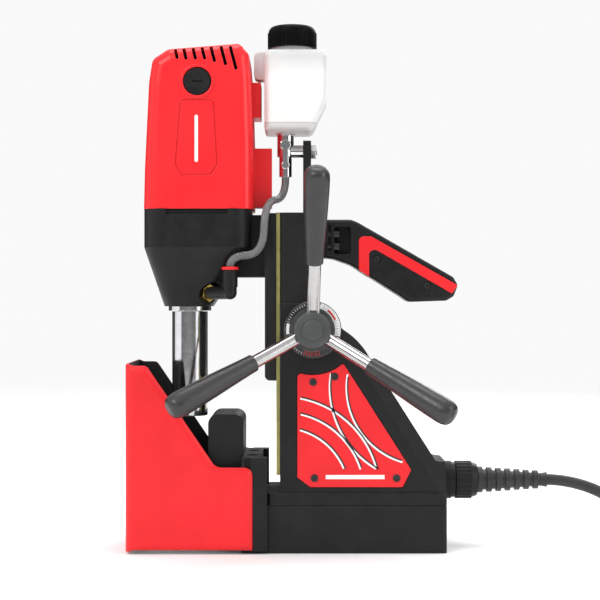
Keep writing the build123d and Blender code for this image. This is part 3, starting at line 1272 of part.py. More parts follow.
# ---- feed capstan: bushes, pinion shaft, dial, hub, three rods and grips --------
ARM_LEAN, ARM_TURN = 25.0, -1.4
HUB_FACE, HUB_ROOT, HUB_RADIUS = 64.5, 46.8, 14.0
ROD_RADIUS, ROD_START, ROD_END = 5.0, 12.0, 56.0
GRIP_END, GRIP_INNER, GRIP_OUTER = 133.5, 6.6, 9.8
ARM_CENTRE = 50.0
axle_plane = Plane(origin=(PINION_X, 0, PINION_Z), x_dir=(1, 0, 0), z_dir=(0, -1, 0))

with BuildPart() as pinion_bushes:
    for near in (-CASTING_HALF, CASTING_HALF - 12):
        with BuildSketch(axle_plane.offset(near)):
            Circle(11)
            Circle(SHAFT_RADIUS + 0.04, mode=Mode.SUBTRACT)
        extrude(amount=12)
keep("pinion_bushes", pinion_bushes)

with BuildPart() as pinion_shaft:
    with BuildSketch(axle_plane.offset(-48)):
        Circle(SHAFT_RADIUS)
    extrude(amount=48 + HUB_FACE - 4)
    with BuildSketch(axle_plane.offset(-11)):
        with BuildLine():
            gear_profile(PINION_TEETH, PINION_MODULE, pi)
        make_face()
    extrude(amount=22)
keep("pinion_shaft", pinion_shaft)

with BuildPart() as shaft_collar:
    with BuildSketch(axle_plane.offset(-47)):
        Circle(11.5)
        Circle(SHAFT_RADIUS + 0.02, mode=Mode.SUBTRACT)
    extrude(amount=6.6)
    chamfer(shaft_collar.edges().filter_by(GeomType.CIRCLE).sort_by(Axis.Y)[-2:], 0.8)
keep("shaft_collar", shaft_collar)

with BuildPart() as dial_ring:
    with BuildSketch(axle_plane.offset(CASTING_HALF)):
        Circle(22.3)
        Circle(12, mode=Mode.SUBTRACT)
    extrude(amount=6)
    chamfer(dial_ring.edges().filter_by(GeomType.CIRCLE).sort_by(Axis.Y)[0:2], 0.9)
keep("dial_ring", dial_ring)


def arm_plane(arm):
    """Plane across one arm, at the hub's centre, looking out along the arm."""
    turn, lean = radians(90 + 120 * arm + ARM_TURN), radians(ARM_LEAN)
    along = (cos(turn) * cos(lean), -sin(lean), sin(turn) * cos(lean))
    return Plane(origin=(PINION_X, -ARM_CENTRE, PINION_Z), z_dir=along)


with BuildPart() as capstan_hub:
    with BuildSketch(axle_plane.offset(HUB_ROOT)):
        Circle(HUB_RADIUS + 3)
    extrude(amount=4)
    with BuildSketch(axle_plane.offset(HUB_ROOT)):
        Circle(HUB_RADIUS)
    extrude(amount=HUB_FACE - HUB_ROOT)
    chamfer(capstan_hub.edges().filter_by(GeomType.CIRCLE).sort_by(Axis.Y)[0], 1.2)
    for arm in range(3):
        with BuildSketch(arm_plane(arm).offset(ROD_START)):
            Circle(ROD_RADIUS)
        extrude(amount=12, mode=Mode.SUBTRACT)
    with BuildSketch(axle_plane.offset(HUB_ROOT - 1)):
        Circle(SHAFT_RADIUS)
    extrude(amount=HUB_FACE - 4 - HUB_ROOT + 1, mode=Mode.SUBTRACT)
    with BuildSketch(axle_plane.offset(HUB_FACE - 4)):
        Circle(4.6)
    extrude(amount=6, mode=Mode.SUBTRACT)
keep("capstan_hub", capstan_hub)

with BuildPart() as hub_cap:
    with BuildSketch(axle_plane.offset(HUB_FACE - 3.9)):
        Circle(4.5)
    extrude(amount=4)
    with BuildSketch(axle_plane.offset(HUB_FACE + 0.05)):
        Circle(7.6)
    extrude(amount=2.2)
    fillet(hub_cap.edges().filter_by(GeomType.CIRCLE).sort_by(Axis.Y)[0], 1)
keep("hub_cap", hub_cap)

with BuildPart() as capstan_rods:
    for arm in range(3):
        with BuildSketch(arm_plane(arm).offset(ROD_START)):
            Circle(ROD_RADIUS)
        extrude(amount=ROD_END + 14 - ROD_START)
keep("capstan_rods", capstan_rods)

with BuildPart() as capstan_grips:
    for arm in range(3):
        across = arm_plane(arm)
        with BuildSketch(across.offset(ROD_END)):
            Circle(GRIP_INNER)
        with BuildSketch(across.offset(ROD_END + 45)):
            Circle(GRIP_OUTER - 0.6)
        with BuildSketch(across.offset(GRIP_END - 5)):
            Circle(GRIP_OUTER)
        loft()
        with BuildSketch(across.offset(GRIP_END - 5)):
            Circle(GRIP_OUTER)
        extrude(amount=5, taper=12)
        with BuildSketch(across.offset(ROD_END - 1)):
            Circle(ROD_RADIUS)
        extrude(amount=15, mode=Mode.SUBTRACT)
    ends = capstan_grips.faces().filter_by(GeomType.PLANE).sort_by(SortBy.AREA)
    fillet([face.edges()[0] for face in ends[-3:]], 3)
keep("capstan_grips", capstan_grips)

# ---- mains cord: gland, strain relief, cord, coil, plug -------------------------
CORD_RADIUS = 4.5
NUT_END, RELIEF_END = 107.0, 163.0
gland_plane = Plane.YZ.offset(GLAND_FACE)

with BuildPart() as cable_gland:
    with BuildSketch(gland_plane):
        with Locations((0, GLAND_Z)):
            Circle(GLAND_RADIUS - 1)
            Circle(CORD_RADIUS, mode=Mode.SUBTRACT)
    extrude(amount=3)
    with BuildSketch(gland_plane.offset(3)):
        with Locations((0, GLAND_Z)):
            Circle(10.5)
            Circle(CORD_RADIUS, mode=Mode.SUBTRACT)
    extrude(amount=12.8)
keep("cable_gland", cable_gland)

with BuildPart() as gland_nut:
    with BuildSketch(gland_plane.offset(3.4)):
        with Locations((0, GLAND_Z)):
            Circle(GLAND_RADIUS)
            with PolarLocations(GLAND_RADIUS + 0.6, 24):
                Circle(1.3, mode=Mode.SUBTRACT)
            Circle(10.54, mode=Mode.SUBTRACT)
    extrude(amount=12.6)
    with BuildSketch(gland_plane.offset(16)):
        with Locations((0, GLAND_Z)):
            Circle(GLAND_RADIUS - 0.8)
            Circle(6.5, mode=Mode.SUBTRACT)
    extrude(amount=4.5, taper=20)
keep("gland_nut", gland_nut)

# ribbed, tapering strain relief
RIBS, RIB_PITCH = 7, 7.4
with BuildPart() as strain_relief:
    with BuildSketch(Plane.XZ):
        with BuildLine():
            outline = [(GLAND_FACE + 16, CORD_RADIUS), (GLAND_FACE + 16, 6.4), (NUT_END, 6.4), (NUT_END, 9.6)]
            for rib in range(RIBS):
                start, size = NUT_END + rib * RIB_PITCH, 10.4 - 0.5 * rib
                outline += [(start + 0.6, size), (start + 4.4, size), (start + 5.2, size - 2.2),
                            (start + RIB_PITCH, size - 2.2)]
            outline += [(RELIEF_END, 6.0), (RELIEF_END, CORD_RADIUS)]
            Polyline(*outline, close=True)
        make_face()
    revolve(axis=Axis.X)
strain_relief.part.locate(Location((0, 0, GLAND_Z)))
keep("strain_relief", strain_relief)


# the cord droops from the relief to the floor, where the rest of it is wound up
COIL_X, COIL_Y, COIL_INNER, COIL_OUTER, COIL_HEIGHT = 296.0, 10.0, 36.5, 63.5, 27.0
FLOOR = CORD_RADIUS + 0.1
CORD_ROUTE = [(151, 0, GLAND_Z), (176, 0, 52.2), (200, -2, 46), (221, -9, 34), (240, -20, 20.5),
              (258, -33, 9.5),
              (276, -43.5, FLOOR + 0.2), (COIL_X, COIL_Y - 59, FLOOR)]
PLUG_X, PLUG_Y, PLUG_Z = COIL_X - 20.0, COIL_Y - 40.0, 39.0
CORD_END = [(COIL_X - 54.3, COIL_Y + 23, 22.8), (COIL_X - 58.5, COIL_Y + 4, 25.5),
            (COIL_X - 54, COIL_Y - 18, 31.5),
            (COIL_X - 41, COIL_Y - 33, 37), (PLUG_X, PLUG_Y, PLUG_Z)]


def tangent_arcs(route):
    """Arc at each corner: 0.45 of the shorter run over the tangent of half the turn."""
    arcs = []
    for before, corner, after in zip(route, route[1:], route[2:]):
        come, leave = Vector(corner) - Vector(before), Vector(after) - Vector(corner)
        half_turn = radians(come.get_angle(leave)) / 2
        arcs.append(0.45 * min(come.length, leave.length) / tan(half_turn))
    return arcs


with BuildPart() as mains_cord:
    for route in (CORD_ROUTE, CORD_END):
        add(cord_tube(route, tangent_arcs(route), CORD_RADIUS).part)
keep("mains_cord", mains_cord)

with BuildPart() as cord_coil:
    with BuildSketch(Plane.XZ):
        with Locations(((COIL_INNER + COIL_OUTER) / 2, 0.1 + COIL_HEIGHT / 2)):
            RectangleRounded(COIL_OUTER - COIL_INNER, COIL_HEIGHT, 4)
    revolve(axis=Axis.Z)
cord_coil.part.locate(Location((COIL_X, COIL_Y, 0)))
keep("cord_coil", cord_coil)

PLUG_BODY, PLUG_WIDE, PLUG_THICK, PLUG_RELIEF = 38.0, 34.0, 22.0, 22.0
plug_plane = Plane.YZ.offset(PLUG_X)
with BuildPart() as plug_body:
    for step, size in enumerate((7.5, 6.4, 7.8, 6.8, 8.2)):
        with BuildSketch(plug_plane.offset(step * PLUG_RELIEF / 5)):
            with Locations((PLUG_Y, PLUG_Z)):
                Circle(size)
        extrude(amount=PLUG_RELIEF / 5)
    with BuildSketch(plug_plane.offset(PLUG_RELIEF)):
        with Locations((PLUG_Y, PLUG_Z)):
            RectangleRounded(18, 16, 7)
    with BuildSketch(plug_plane.offset(PLUG_RELIEF + PLUG_BODY * 0.45)):
        with Locations((PLUG_Y, PLUG_Z)):
            RectangleRounded(PLUG_WIDE, PLUG_THICK, 9)
    loft()
    with BuildSketch(plug_plane.offset(PLUG_RELIEF + PLUG_BODY * 0.45)):
        with Locations((PLUG_Y, PLUG_Z)):
            RectangleRounded(PLUG_WIDE, PLUG_THICK, 9)
    extrude(amount=PLUG_BODY * 0.55)
    chamfer(plug_body.faces().sort_by(Axis.X)[-1].edges(), 1.2)
    with BuildSketch(plug_plane.offset(PLUG_RELIEF + PLUG_BODY - 8)):
        with Locations((PLUG_Y - 9.5, PLUG_Z), (PLUG_Y + 9.5, PLUG_Z)):
            Circle(2.4)
    extrude(amount=10, mode=Mode.SUBTRACT)
keep("plug_body", plug_body)

with BuildPart() as plug_pins:
    with BuildSketch(plug_plane.offset(PLUG_RELIEF + PLUG_BODY - 8)):
        with Locations((PLUG_Y - 9.5, PLUG_Z), (PLUG_Y + 9.5, PLUG_Z)):
            Circle(2.4)
    extrude(amount=27)
    fillet(plug_pins.edges().group_by(Axis.X)[-1], 1.5)
keep("plug_pins", plug_pins)

# ---- small pieces that share a node -------------------------------------------
group("frame_screws", "carrier_screws", "handle_bolts", "bracket_screws", "gib_screws")
group("cover_screws", "name_plate_screws", "panel_screws", "handle_screws")
group("slide_screws", "rack_screws", "slide_bolts")
group("handle_inlays", "handle_inlay_near", "handle_inlay_far")
group("spindle_bearings", "spindle_bearing_lower", "spindle_bearing_upper")
group("armature_bearings", "armature_bearing_lower", "armature_bearing_upper")
group("coolant_tap", "tap_body", "tap_nut", "tank_nut")
group("mains_gland", "cable_gland", "gland_nut")
group("hub", "capstan_hub", "hub_cap")
group("feed_shaft", "pinion_shaft", "shaft_collar")
group("motor_brushes", "carbon_brushes", "brush_holders")

# ---- export ----------------------------------------------------------------------
for name, part in PIECES.items():
    export_step(part, f"parts/{name}.step")
print(len(PIECES), "nodes")
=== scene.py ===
"""Looks of the magnetic drill press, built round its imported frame, in metres."""

import json
from math import cos, hypot, pi, radians, sin, sqrt, tau

import bmesh
import bpy
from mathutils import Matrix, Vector


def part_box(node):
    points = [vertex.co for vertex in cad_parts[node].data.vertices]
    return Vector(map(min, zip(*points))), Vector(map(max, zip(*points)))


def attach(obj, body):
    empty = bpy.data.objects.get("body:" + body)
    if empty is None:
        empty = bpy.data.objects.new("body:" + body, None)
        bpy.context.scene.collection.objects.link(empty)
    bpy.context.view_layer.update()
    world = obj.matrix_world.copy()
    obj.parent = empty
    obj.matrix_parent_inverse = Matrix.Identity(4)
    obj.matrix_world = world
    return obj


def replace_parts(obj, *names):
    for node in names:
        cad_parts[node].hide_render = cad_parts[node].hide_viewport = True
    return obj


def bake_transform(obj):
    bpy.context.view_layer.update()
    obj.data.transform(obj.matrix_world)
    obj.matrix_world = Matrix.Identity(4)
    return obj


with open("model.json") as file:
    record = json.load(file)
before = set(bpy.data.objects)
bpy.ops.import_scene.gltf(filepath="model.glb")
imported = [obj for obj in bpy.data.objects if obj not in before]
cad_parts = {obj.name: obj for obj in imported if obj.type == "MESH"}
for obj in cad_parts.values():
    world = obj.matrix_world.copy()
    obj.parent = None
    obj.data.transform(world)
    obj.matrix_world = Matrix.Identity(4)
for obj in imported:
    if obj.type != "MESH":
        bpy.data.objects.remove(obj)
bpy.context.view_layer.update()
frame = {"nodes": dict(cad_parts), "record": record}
NODES = frame["nodes"]
MM = 0.001


# ---- small helpers ---------------------------------------------------------------
def middle(node):
    """Centre of a CAD node's box."""
    low, high = (Vector(corner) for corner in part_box(node))
    return (low + high) / 2


def add_piece(name, mesh, body, material):
    """A mesh becomes a piece that rides on a body and wears one material."""
    piece = bpy.data.objects.new(name, mesh)
    bpy.context.collection.objects.link(piece)
    piece.data.materials.append(material)
    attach(piece, body)
    return piece


def mesh_from(name, build, smooth=False):
    """Mesh made by build(bm) on an empty bmesh."""
    bm = bmesh.new()
    build(bm)
    bmesh.ops.recalc_face_normals(bm, faces=bm.faces)
    mesh = bpy.data.meshes.new(name)
    bm.to_mesh(mesh)
    bm.free()
    for face in mesh.polygons:
        face.use_smooth = smooth
    return mesh


def spline_curve(name, points, radius):
    """A round cord along one NURBS spline with these control points."""
    curve = bpy.data.curves.new(name, "CURVE")
    curve.dimensions = "3D"
    curve.bevel_depth = radius
    curve.bevel_resolution = 6
    curve.resolution_u = 10
    curve.use_fill_caps = True
    spline = curve.splines.new("NURBS")
    spline.points.add(len(points) - 1)
    for point, place in zip(spline.points, points):
        point.co = (*place, 1)
    spline.order_u = 3
    spline.use_endpoint_u = True
    return curve


def sampled_line(name, points, steps):
    """Points read from a NURBS spline with these control points."""
    curve = spline_curve(name, points, 0)
    curve.resolution_u = steps
    holder = bpy.data.objects.new(name, curve)
    bpy.context.collection.objects.link(holder)
    bpy.context.view_layer.update()
    mesh = bpy.data.meshes.new_from_object(holder)
    line = [vertex.co.copy() for vertex in mesh.vertices]
    bpy.data.objects.remove(holder)
    bpy.data.meshes.remove(mesh)
    return line


def ring(bm, at, across, beside, radius, sides):
    """Ring of vertices round a point, in the plane of two unit directions."""
    return [bm.verts.new(at + radius * (cos(tau * k / sides) * across + sin(tau * k / sides) * beside))
            for k in range(sides)]


def tube(bm, line, radius, sides):
    """Closed round tube along a line, with a ring of vertices that doesn't twist."""
    rings, across = [], None
    for i, at in enumerate(line):
        ahead = (line[min(i + 1, len(line) - 1)] - line[max(i - 1, 0)]).normalized()
        across = ahead.orthogonal() if across is None else across - ahead * across.dot(ahead)
        across.normalize()
        rings.append(ring(bm, at, across, ahead.cross(across), radius, sides))
    for one, two in zip(rings, rings[1:]):
        for k in range(sides):
            bm.faces.new((one[k], one[(k + 1) % sides], two[(k + 1) % sides], two[k]))
    bm.faces.new(rings[0])
    bm.faces.new(rings[-1])


# ---- materials ---------------------------------------------------------------------
def map_range(nodes, links, value, start, end, low, high):
    """A value from start..end brought to low..high."""
    remap = nodes.new("ShaderNodeMapRange")
    for socket, number in zip(("From Min", "From Max", "To Min", "To Max"), (start, end, low, high)):
        remap.inputs[socket].default_value = number
    links.new(value, remap.inputs["Value"])
    return remap.outputs["Result"]


# distances outwards, in metres, between which a face counts as looking towards the axis and gets the painted
# shade
INWARD = (-0.012, -0.010)
# likeness of a rounded and a plain normal, from where an edge gets the full painted highlight to where it
# gets none
EDGE_HIGHLIGHT_SPAN = (0.80, 0.985)


class Recipe:
    """A Principled material with the nodes that vary its colour, gloss and relief."""

    def __init__(self, name, color, rough, metal=0.0, bevel=0.5, **sockets):
        self.made = bpy.data.materials.new(name)
        self.made.use_nodes = True
        tree = self.made.node_tree
        self.nodes, self.links = tree.nodes, tree.links
        self.shader = self.nodes["Principled BSDF"]
        self.color = color
        self.shader.inputs["Base Color"].default_value = (*color, 1)
        self.shader.inputs["Roughness"].default_value = rough
        self.shader.inputs["Metallic"].default_value = metal
        for socket, value in sockets.items():
            self.shader.inputs[socket.replace("_", " ")].default_value = value
        self.place = self.nodes.new("ShaderNodeTexCoord").outputs["Object"]
        self.relief = None
        if bevel:
            rounded = self.nodes.new("ShaderNodeBevel")
            rounded.samples = 6
            rounded.inputs["Radius"].default_value = bevel * MM
            self.relief = rounded.outputs["Normal"]
            self.links.new(self.relief, self.shader.inputs["Normal"])

    def stretched(self, scale):
        """Object coordinates stretched along the axes."""
        mapping = self.nodes.new("ShaderNodeMapping")
        mapping.inputs["Scale"].default_value = scale
        self.links.new(self.place, mapping.inputs["Vector"])
        return mapping.outputs["Vector"]

    def noise(self, size_mm, detail=3.0, scale=(1, 1, 1)):
        """Noise whose features are about size_mm across."""
        noise = self.nodes.new("ShaderNodeTexNoise")
        noise.inputs["Scale"].default_value = 1 / (size_mm * MM)
        noise.inputs["Detail"].default_value = detail
        self.links.new(self.stretched(scale), noise.inputs["Vector"])
        return noise.outputs["Fac"]

    def ranged(self, value, low, high, start=0.3, end=0.7):
        """A value from start..end brought to low..high."""
        return map_range(self.nodes, self.links, value, start, end, low, high)

    def vector_math(self, operation, first, second=None, output="Vector"):
        """Vector operation on an output, with another output or a constant."""
        node = self.nodes.new("ShaderNodeVectorMath")
        node.operation = operation
        self.links.new(first, node.inputs[0])
        if isinstance(second, tuple):
            node.inputs[1].default_value = second
        elif second is not None:
            self.links.new(second, node.inputs[1])
        return node.outputs[output]

    def mixed(self, factor, first, second):
        """Two colours, or a colour's output and a colour, mixed by a factor."""
        mix = self.nodes.new("ShaderNodeMix")
        mix.data_type = "RGBA"
        self.links.new(factor, mix.inputs["Factor"])
        for socket, value in ((mix.inputs["A"], first), (mix.inputs["B"], second)):
            if isinstance(value, tuple):
                socket.default_value = (*value, 1)
            else:
                self.links.new(value, socket)
        return mix.outputs["Result"]

    def over(self, factor, color):
        """Another colour over the base colour, as far as the factor says."""
        base = self.shader.inputs["Base Color"]
        first = base.links[0].from_socket if base.is_linked else self.color
        self.links.new(self.mixed(factor, first, color), base)
        return self

    def tint(self, other, size_mm, low=0.0, high=1.0, **shape):
        """Clouds of another colour over the base colour."""
        return self.over(self.ranged(self.noise(size_mm, **shape), low, high), other)

    def gloss(self, low, high, size_mm, **shape):
        """Roughness that wanders between two values."""
        self.links.new(self.ranged(self.noise(size_mm, **shape), low, high), self.shader.inputs["Roughness"])
        return self

    def bumps(self, height, strength=0.3, depth_mm=0.05):
        """Relief from a height output, over what is there already."""
        bump = self.nodes.new("ShaderNodeBump")
        bump.inputs["Strength"].default_value = strength
        bump.inputs["Distance"].default_value = depth_mm * MM
        self.links.new(height, bump.inputs["Height"])
        if self.relief:
            self.links.new(self.relief, bump.inputs["Normal"])
        self.relief = bump.outputs["Normal"]
        self.links.new(self.relief, self.shader.inputs["Normal"])
        return self

    def painted_shade_inside(self, axis, color):
        """Painted shade: another colour on the faces that look towards an upright axis."""
        away = self.vector_math("SUBTRACT", self.place, axis)
        level = self.vector_math("MULTIPLY", away, (1, 1, 0))
        facing = self.nodes.new("ShaderNodeNewGeometry").outputs["True Normal"]
        outward = self.vector_math("DOT_PRODUCT", level, facing, "Value")
        return self.over(self.ranged(outward, 1, 0, *INWARD), color)

    def height_shade(self, stops):
        """Multiplies the base colour by shades that depend on the height z."""
        apart = self.nodes.new("ShaderNodeSeparateXYZ")
        self.links.new(self.place, apart.inputs["Vector"])
        low, high = stops[0][0], stops[-1][0]
        brightest = max(part for _, shade in stops for part in shade)
        ramp = self.nodes.new("ShaderNodeValToRGB")
        for _ in stops[2:]:
            ramp.color_ramp.elements.new(0.5)
        for element, (height, shade) in zip(ramp.color_ramp.elements, stops):
            element.position = (height - low) / (high - low)
            element.color = (*(part / brightest for part in shade), 1)
        self.links.new(self.ranged(apart.outputs["Z"], 0, 1, low, high), ramp.inputs["Fac"])
        base = self.shader.inputs["Base Color"]
        mix = self.nodes.new("ShaderNodeMix")
        mix.data_type, mix.blend_type = "RGBA", "MULTIPLY"
        mix.inputs["Factor"].default_value = 1
        self.links.new(base.links[0].from_socket, mix.inputs["A"])
        self.links.new(ramp.outputs["Color"], mix.inputs["B"])
        self.links.new(mix.outputs["Result"], base)
        return self

    def grain(self, size_mm, strength=0.3, depth_mm=0.05, **shape):
        """Relief from noise."""
        return self.bumps(self.noise(size_mm, **shape), strength, depth_mm)

    def painted_edge_highlight(self, color, radius_mm=0.8, amount=0.6):
        """Painted highlight: edges painted a lighter colour, broken up by noise."""
        rounded = self.nodes.new("ShaderNodeBevel")
        rounded.samples = 6
        rounded.inputs["Radius"].default_value = radius_mm * MM
        plain = self.nodes.new("ShaderNodeNewGeometry").outputs["Normal"]
        alike = self.vector_math("DOT_PRODUCT", rounded.outputs["Normal"], plain, "Value")
        edge = self.ranged(alike, amount, 0.0, *EDGE_HIGHLIGHT_SPAN)
        broken = self.nodes.new("ShaderNodeMath")
        broken.operation = "MULTIPLY"
        self.links.new(edge, broken.inputs[0])
        self.links.new(self.ranged(self.noise(3.0), 0.1, 1.0, 0.4, 0.6), broken.inputs[1])
        return self.over(broken.outputs["Value"], color)


def red_plastic():
    """Glossy moulded red, with faint flow marks and fine texture."""
    return (Recipe("red_plastic", (0.76, 0.010, 0.015), 0.32, bevel=0.9, Specular_IOR_Level=0.4)
            .tint((0.72, 0.009, 0.0135), 45).gloss(0.29, 0.37, 30).grain(0.35, 0.25, 0.02)
            .painted_edge_highlight((0.86, 0.06, 0.06), 0.7, 0.35).made)


def red_paint(name="red_paint", painted_shade_towards=None):
    """Red powder coat on sheet steel. Faces that look towards a given upright axis get near-black painted
    shade.
    """
    recipe = Recipe(name, (0.76, 0.011, 0.017), 0.40, bevel=0.6, Specular_IOR_Level=0.35)
    recipe.tint((0.66, 0.009, 0.013), 30)
    if painted_shade_towards:
        # near-black painted shade on the faces that look towards the axis
        recipe.painted_shade_inside(painted_shade_towards, (0.012, 0.012, 0.013))
    return (recipe.gloss(0.34, 0.48, 12).grain(1.1, 0.35, 0.05, detail=2)
            .painted_edge_highlight((0.88, 0.10, 0.10), 0.8, 0.4).made)


def black_paint():
    """Fine-textured black powder coat on castings and plate."""
    return (Recipe("black_paint", (0.0085, 0.0085, 0.0088), 0.48, bevel=1.0, Specular_IOR_Level=0.22)
            .tint((0.0125, 0.0125, 0.013), 22).gloss(0.42, 0.60, 7).grain(0.55, 0.5, 0.07, detail=2)
            .painted_edge_highlight((0.075, 0.075, 0.08), 1.0, 0.6).made)


def slide_paint():
    """Smooth dark paint on the machined slide, with faint lengthwise rubbing."""
    return (Recipe("slide_paint", (0.008, 0.008, 0.0085), 0.42, bevel=0.5, Specular_IOR_Level=0.25)
            .tint((0.02, 0.02, 0.021), 1.4, 0, 0.7, scale=(1, 1, 0.05)).gloss(0.34, 0.5, 6)
            .painted_edge_highlight((0.16, 0.16, 0.165), 0.7, 0.7).made)


def moulded(name, color, rough, other, shine=0.3):
    """Moulded plastic with a fine spark-eroded grain."""
    # lighter colour for the painted edge highlight
    edge_highlight_color = tuple(3.2 * part + 0.02 for part in color)
    return (Recipe(name, color, rough, bevel=0.8, Specular_IOR_Level=shine)
            .tint(other, 14).gloss(rough - 0.06, rough + 0.1, 6)
            .grain(0.4, 0.45, 0.04, detail=2).painted_edge_highlight(edge_highlight_color, 0.8, 0.4).made)


def metal(name, color, rough, lines=(1, 1, 1), size_mm=0.5):
    """Bright metal with machining lines drawn out along the axes where lines is small."""
    return (Recipe(name, color, rough, metal=1.0, bevel=0.3)
            .tint(tuple(0.86 * part for part in color), 9).gloss(rough * 0.7, rough * 1.4, 4)
            .grain(size_mm, 0.15, 0.02, scale=lines).made)


# tank's colour by height: darker base, its moulded line, the body, and painted shadow under the cap
TANK_SHADES = [(0.3285, (0.56, 0.55, 0.53)), (0.3345, (0.62, 0.61, 0.60)), (0.3352, (0.44, 0.43, 0.42)),
               (0.3360, (0.80, 0.80, 0.79)), (0.3720, (0.82, 0.82, 0.81)), (0.3935, (0.56, 0.56, 0.56))]


def tank_plastic():
    """Milky, slightly see-through plastic of a blow-moulded tank, with painted shadow under the cap."""
    recipe = Recipe("tank_plastic", (0.80, 0.80, 0.795), 0.34, bevel=1.0, Subsurface_Weight=0.5,
                    Subsurface_Scale=0.006, Subsurface_Radius=(1, 1, 1), Specular_IOR_Level=0.35)
    recipe.tint((0.75, 0.755, 0.76), 20)
    # darker base, moulded line and the painted shadow under the cap, by height
    recipe.height_shade(TANK_SHADES)
    return recipe.gloss(0.28, 0.42, 10).grain(2.2, 0.25, 0.06).made


def tinted_lens():
    """Clear red plastic of the lamp."""
    return (Recipe("tinted_lens", (0.75, 0.03, 0.02), 0.12, bevel=0.3, Transmission_Weight=0.7, IOR=1.49)
            .gloss(0.08, 0.2, 3).made)


def ribbed(recipe, direction, scale, strength, depth_mm):
    """Fine ribs, one after another in a direction."""
    wave = recipe.nodes.new("ShaderNodeTexWave")
    wave.bands_direction = direction
    wave.inputs["Scale"].default_value = scale / MM / tau
    recipe.links.new(recipe.place, wave.inputs["Vector"])
    return recipe.bumps(wave.outputs["Fac"], strength, depth_mm)


def laminations():
    """Stacked steel sheets of the motor's iron."""
    recipe = Recipe("laminations", (0.30, 0.30, 0.31), 0.38, metal=1.0, bevel=0).tint((0.20, 0.17, 0.14), 6)
    return ribbed(recipe, "Z", 0.5, 0.7, 0.15).made


def wound_copper():
    """Lacquered copper wire."""
    recipe = Recipe("wound_copper", (0.62, 0.25, 0.11), 0.3, metal=1.0, bevel=0).tint((0.42, 0.15, 0.07), 5)
    return ribbed(recipe, "DIAGONAL", 0.8, 0.8, 0.2).made


def rubber(name, color, rough):
    """Rubber or soft vinyl with a dusty sheen."""
    return (Recipe(name, color, rough, bevel=0.4, Sheen_Weight=0.15, Sheen_Roughness=0.4)
            .tint(tuple(1.5 * part + 0.01 for part in color), 16).gloss(rough - 0.08, rough + 0.12, 5)
            .grain(0.5, 0.3, 0.03).made)


def print_ink(name, color):
    """Screen-printed ink, thin and slightly uneven."""
    return (Recipe(name, color, 0.42, bevel=0).tint(tuple(0.9 * part for part in color), 5)
            .gloss(0.36, 0.5, 3).grain(0.6, 0.2, 0.01).made)


def clear_hose():
    """Clear flexible PVC, a little cloudy."""
    recipe = Recipe("clear_hose", (0.36, 0.365, 0.37), 0.2, bevel=0, Transmission_Weight=0.6, IOR=1.3,
                    Specular_IOR_Level=0.4)
    return recipe.tint((0.30, 0.305, 0.31), 12).gloss(0.16, 0.3, 8).grain(1.2, 0.2, 0.03).made


MATERIALS = {
    "red_gloss_plastic": red_plastic(),
    "red_painted_steel": red_paint(),
    "black_painted_metal": black_paint(),
    "black_cast_aluminium": black_paint(),
    "black_plastic": moulded("black_plastic", (0.008, 0.008, 0.0084), 0.38, (0.012, 0.012, 0.0125), 0.22),
    "grip_plastic": moulded("grip_plastic", (0.026, 0.026, 0.027), 0.32, (0.031, 0.031, 0.032), 0.45),
    "hub_grey": moulded("hub_grey", (0.045, 0.048, 0.048), 0.34, (0.06, 0.063, 0.063), 0.5),
    "chrome": metal("chrome", (0.82, 0.82, 0.84), 0.10),
    "dial_metal": metal("dial_metal", (0.10, 0.10, 0.105), 0.24),
    "steel": metal("steel", (0.48, 0.48, 0.50), 0.30),
    "stator_steel": laminations(),
    "copper": wound_copper(),
    "brass": metal("brass", (0.42, 0.38, 0.16), 0.34, lines=(1, 1, 0.06)),
    "coil_resin": moulded("coil_resin", (0.07, 0.055, 0.045), 0.35, (0.10, 0.08, 0.06)),
    "tank_white": tank_plastic(),
    "green_plastic": moulded("green_plastic", (0.02, 0.24, 0.07), 0.35, (0.03, 0.30, 0.09)),
    "lamp_glass": tinted_lens(),
    "grey_hose": clear_hose(),
    "black_rubber": rubber("black_rubber", (0.008, 0.008, 0.0085), 0.45),
}
BRASS_STRIP = metal("brass_strip", (0.36, 0.34, 0.13), 0.40, lines=(1, 1, 0.05), size_mm=0.8)
BRIGHT_BRASS = metal("bright_brass", (0.80, 0.58, 0.16), 0.22)
BLACK_SCREWS = metal("black_screws", (0.06, 0.06, 0.062), 0.35)
DARK_SLIDE = slide_paint()
CAP_BLACK = moulded("cap_black", (0.0015, 0.0015, 0.0016), 0.38, (0.003, 0.003, 0.003), 0.06)
# red paint of the guard, with near-black painted shade on its inner faces
GUARD_PAINT = red_paint("guard_paint", painted_shade_towards=tuple(middle("guard")))
BRUSHED = (Recipe("brushed_rods", (0.50, 0.495, 0.49), 0.2, metal=1.0, bevel=0)
           .tint((0.46, 0.455, 0.45), 6).gloss(0.17, 0.24, 5).made)
# lighter red than the housing: a painted highlight on the raised rims round the brush caps
HIGHLIT_RED_RIM = (Recipe("highlit_rim", (0.86, 0.17, 0.18), 0.35, bevel=0.2)
           .tint((0.80, 0.12, 0.13), 6).grain(0.4, 0.2, 0.02).made)
WHITE_INK = print_ink("white_ink", (0.86, 0.86, 0.85))
BLACK_INK = print_ink("black_ink", (0.012, 0.012, 0.013))
RED_INK = print_ink("red_ink", (0.62, 0.012, 0.014))

OWN_FINISH = {"brass_wear_strips": BRASS_STRIP, "brass_nipple": BRIGHT_BRASS, "cover_screws": BLACK_SCREWS,
              "frame_screws": BLACK_SCREWS, "feed_slide": DARK_SLIDE, "tank_cap": CAP_BLACK,
              "guard": GUARD_PAINT, "spindle_seal": MATERIALS["chrome"]}
NODE_SLOTS = {part["node"]: part["material_slot"] for part in frame["record"]["subparts"]}
for node, thing in NODES.items():
    for holder in thing.material_slots:
        holder.material = OWN_FINISH.get(node, MATERIALS[NODE_SLOTS[node]])


